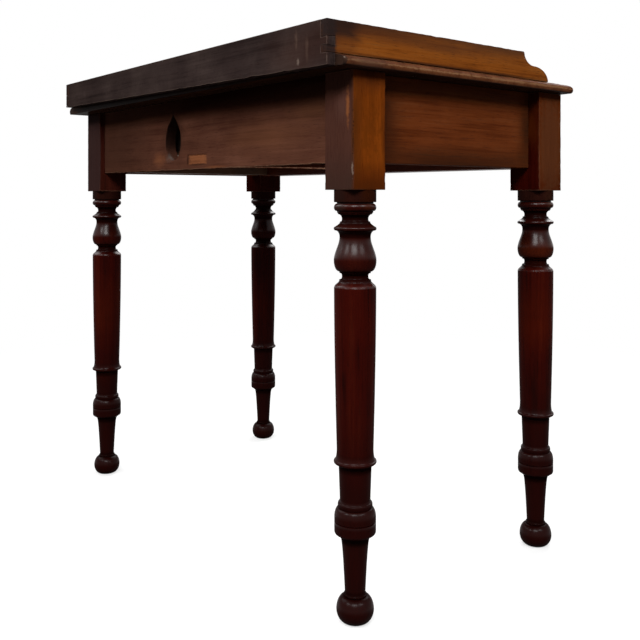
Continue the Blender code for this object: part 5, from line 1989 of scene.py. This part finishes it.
@dataclass
class Studio:
    """Camera, lamps, pale floor and white surround."""

    eye: Point = (-1.2242, 0.92385, 0.5695)
    heading: float = 231.06
    lens: float = 47.07
    sensor: float = 36.0
    shift: float = -0.1969
    nearest: float = 0.05
    aim: Point = (0.0, 0.0, 0.42)
    lamps: tuple[Lamp, ...] = (
        Lamp("back_window", 180.0, 36.0, 2.8, 0.90, 0.52, 22.0),
        Lamp("corner_window", 227.0, 36.0, 2.8, 1.20, 0.52, 32.0),
        Lamp("end_window", 272.0, 36.0, 2.8, 0.90, 0.52, 22.0),
        Lamp("front_fill", 25.0, 38.0, 3.2, 2.4, 2.0, 6.5),
        Lamp("far_fill", 120.0, 40.0, 3.2, 2.2, 1.8, 4.0),
    )
    floor_core: float = 0.05
    floor_reach: float = 9.0
    floor_thick: float = 0.02
    floor_rings: int = 24
    floor_columns: int = 64
    floor_pale: Colour = (0.90, 0.90, 0.90)
    floor_grey: Colour = (0.16, 0.15, 0.15)
    shadow_share: float = 0.40
    shadow_fade: tuple[float, float] = (0.7, 1.9)
    surround: float = 0.10

    def camera(self) -> None:
        """A level camera at the photograph's place, with the lens shifted down."""
        data = bpy.data.cameras.new("camera")
        data.lens = self.lens
        data.sensor_width = self.sensor
        data.shift_y = self.shift
        data.clip_start = self.nearest
        camera = bpy.data.objects.new("camera", data)
        camera.location = self.eye
        camera.rotation_euler = (math.radians(90), 0, math.radians(self.heading))
        bpy.context.scene.collection.objects.link(camera)
        bpy.context.scene.camera = camera

    @staticmethod
    def seen(bench: Bench) -> Value:
        """1 for rays from the camera and for mirrored or refracted rays, else 0."""
        rays = bench.node("ShaderNodeLightPath").outputs
        camera, glossy = Value(bench, rays["Is Camera Ray"]), Value(bench, rays["Is Glossy Ray"])
        return camera.most(glossy).most(Value(bench, rays["Is Transmission Ray"]))

    def floor_finish(self) -> bpy.types.Material:
        """A pale floor that turns white away from the table, and casts back only a little light.

        Returns:
            The material.
        """
        bench = Bench(bpy.data.materials.new("floor_pale"))
        share = (1.0 - bench.length(bench.place).ramp(*self.shadow_fade)) * self.shadow_share
        pale = bench.node("ShaderNodeBsdfDiffuse", {}, {"Color": (*self.floor_pale, 1.0)}).outputs[0]
        grey = bench.node("ShaderNodeBsdfDiffuse", {}, {"Color": (*self.floor_grey, 1.0)}).outputs[0]
        white = bench.node("ShaderNodeEmission", {}, {"Strength": 1.0}).outputs[0]
        shown = bench.node("ShaderNodeMixShader", {}, {0: share, 1: white, 2: pale}).outputs[0]
        made = bench.node("ShaderNodeMixShader", {}, {0: self.seen(bench), 1: grey, 2: shown}).outputs[0]
        bench.feed(bench.tree.nodes["Material Output"].inputs["Surface"], made)
        return bench.owner

    def floor(self) -> None:
        """A round floor.

        Formula: rings of points whose radii grow evenly, closed at the middle by a small face.
        """
        radius = np.linspace(self.floor_core, self.floor_reach, self.floor_rings)
        circle, height = spun(np.column_stack((radius, 0 * radius)), self.floor_columns)
        rings = np.stack((circle.real, circle.imag, height), -1)
        mesh = skin("floor", np.concatenate((rings, rings[::-1] - (0, 0, self.floor_thick))))
        mesh.materials.append(self.floor_finish())
        floor = bpy.data.objects.new("floor", mesh)
        bpy.context.scene.collection.objects.link(floor)

    def world(self) -> None:
        """White behind the table, plain grey light from all round."""
        bench = Bench(bpy.data.worlds.new("surround"))
        bpy.context.scene.world = bench.owner
        sky = bench.tree.nodes["Background"]
        bench.feed(sky.inputs["Color"], (1.0, 1.0, 1.0, 1.0))
        bench.feed(sky.inputs["Strength"], self.seen(bench) * (1.0 - self.surround) + self.surround)

    def set_up(self) -> None:
        """Builds the whole studio."""
        bpy.context.scene.view_settings.view_transform = "Standard"
        self.camera()
        for lamp in self.lamps:
            lamp.hang(self.aim)
        self.floor()
        self.world()


def main() -> None:
    """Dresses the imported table."""
    logging.basicConfig(level=logging.INFO, format="%(message)s")
    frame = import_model()
    shop = Workshop(frame["nodes"])
    for part in (Legs(), Top(), Gallery(), BackRail(), Knobs(), Fastenings(), Boards()):
        part.dress(shop)
    Studio().set_up()
    bpy.context.view_layer.update()


if __name__ == "__main__":
    main()
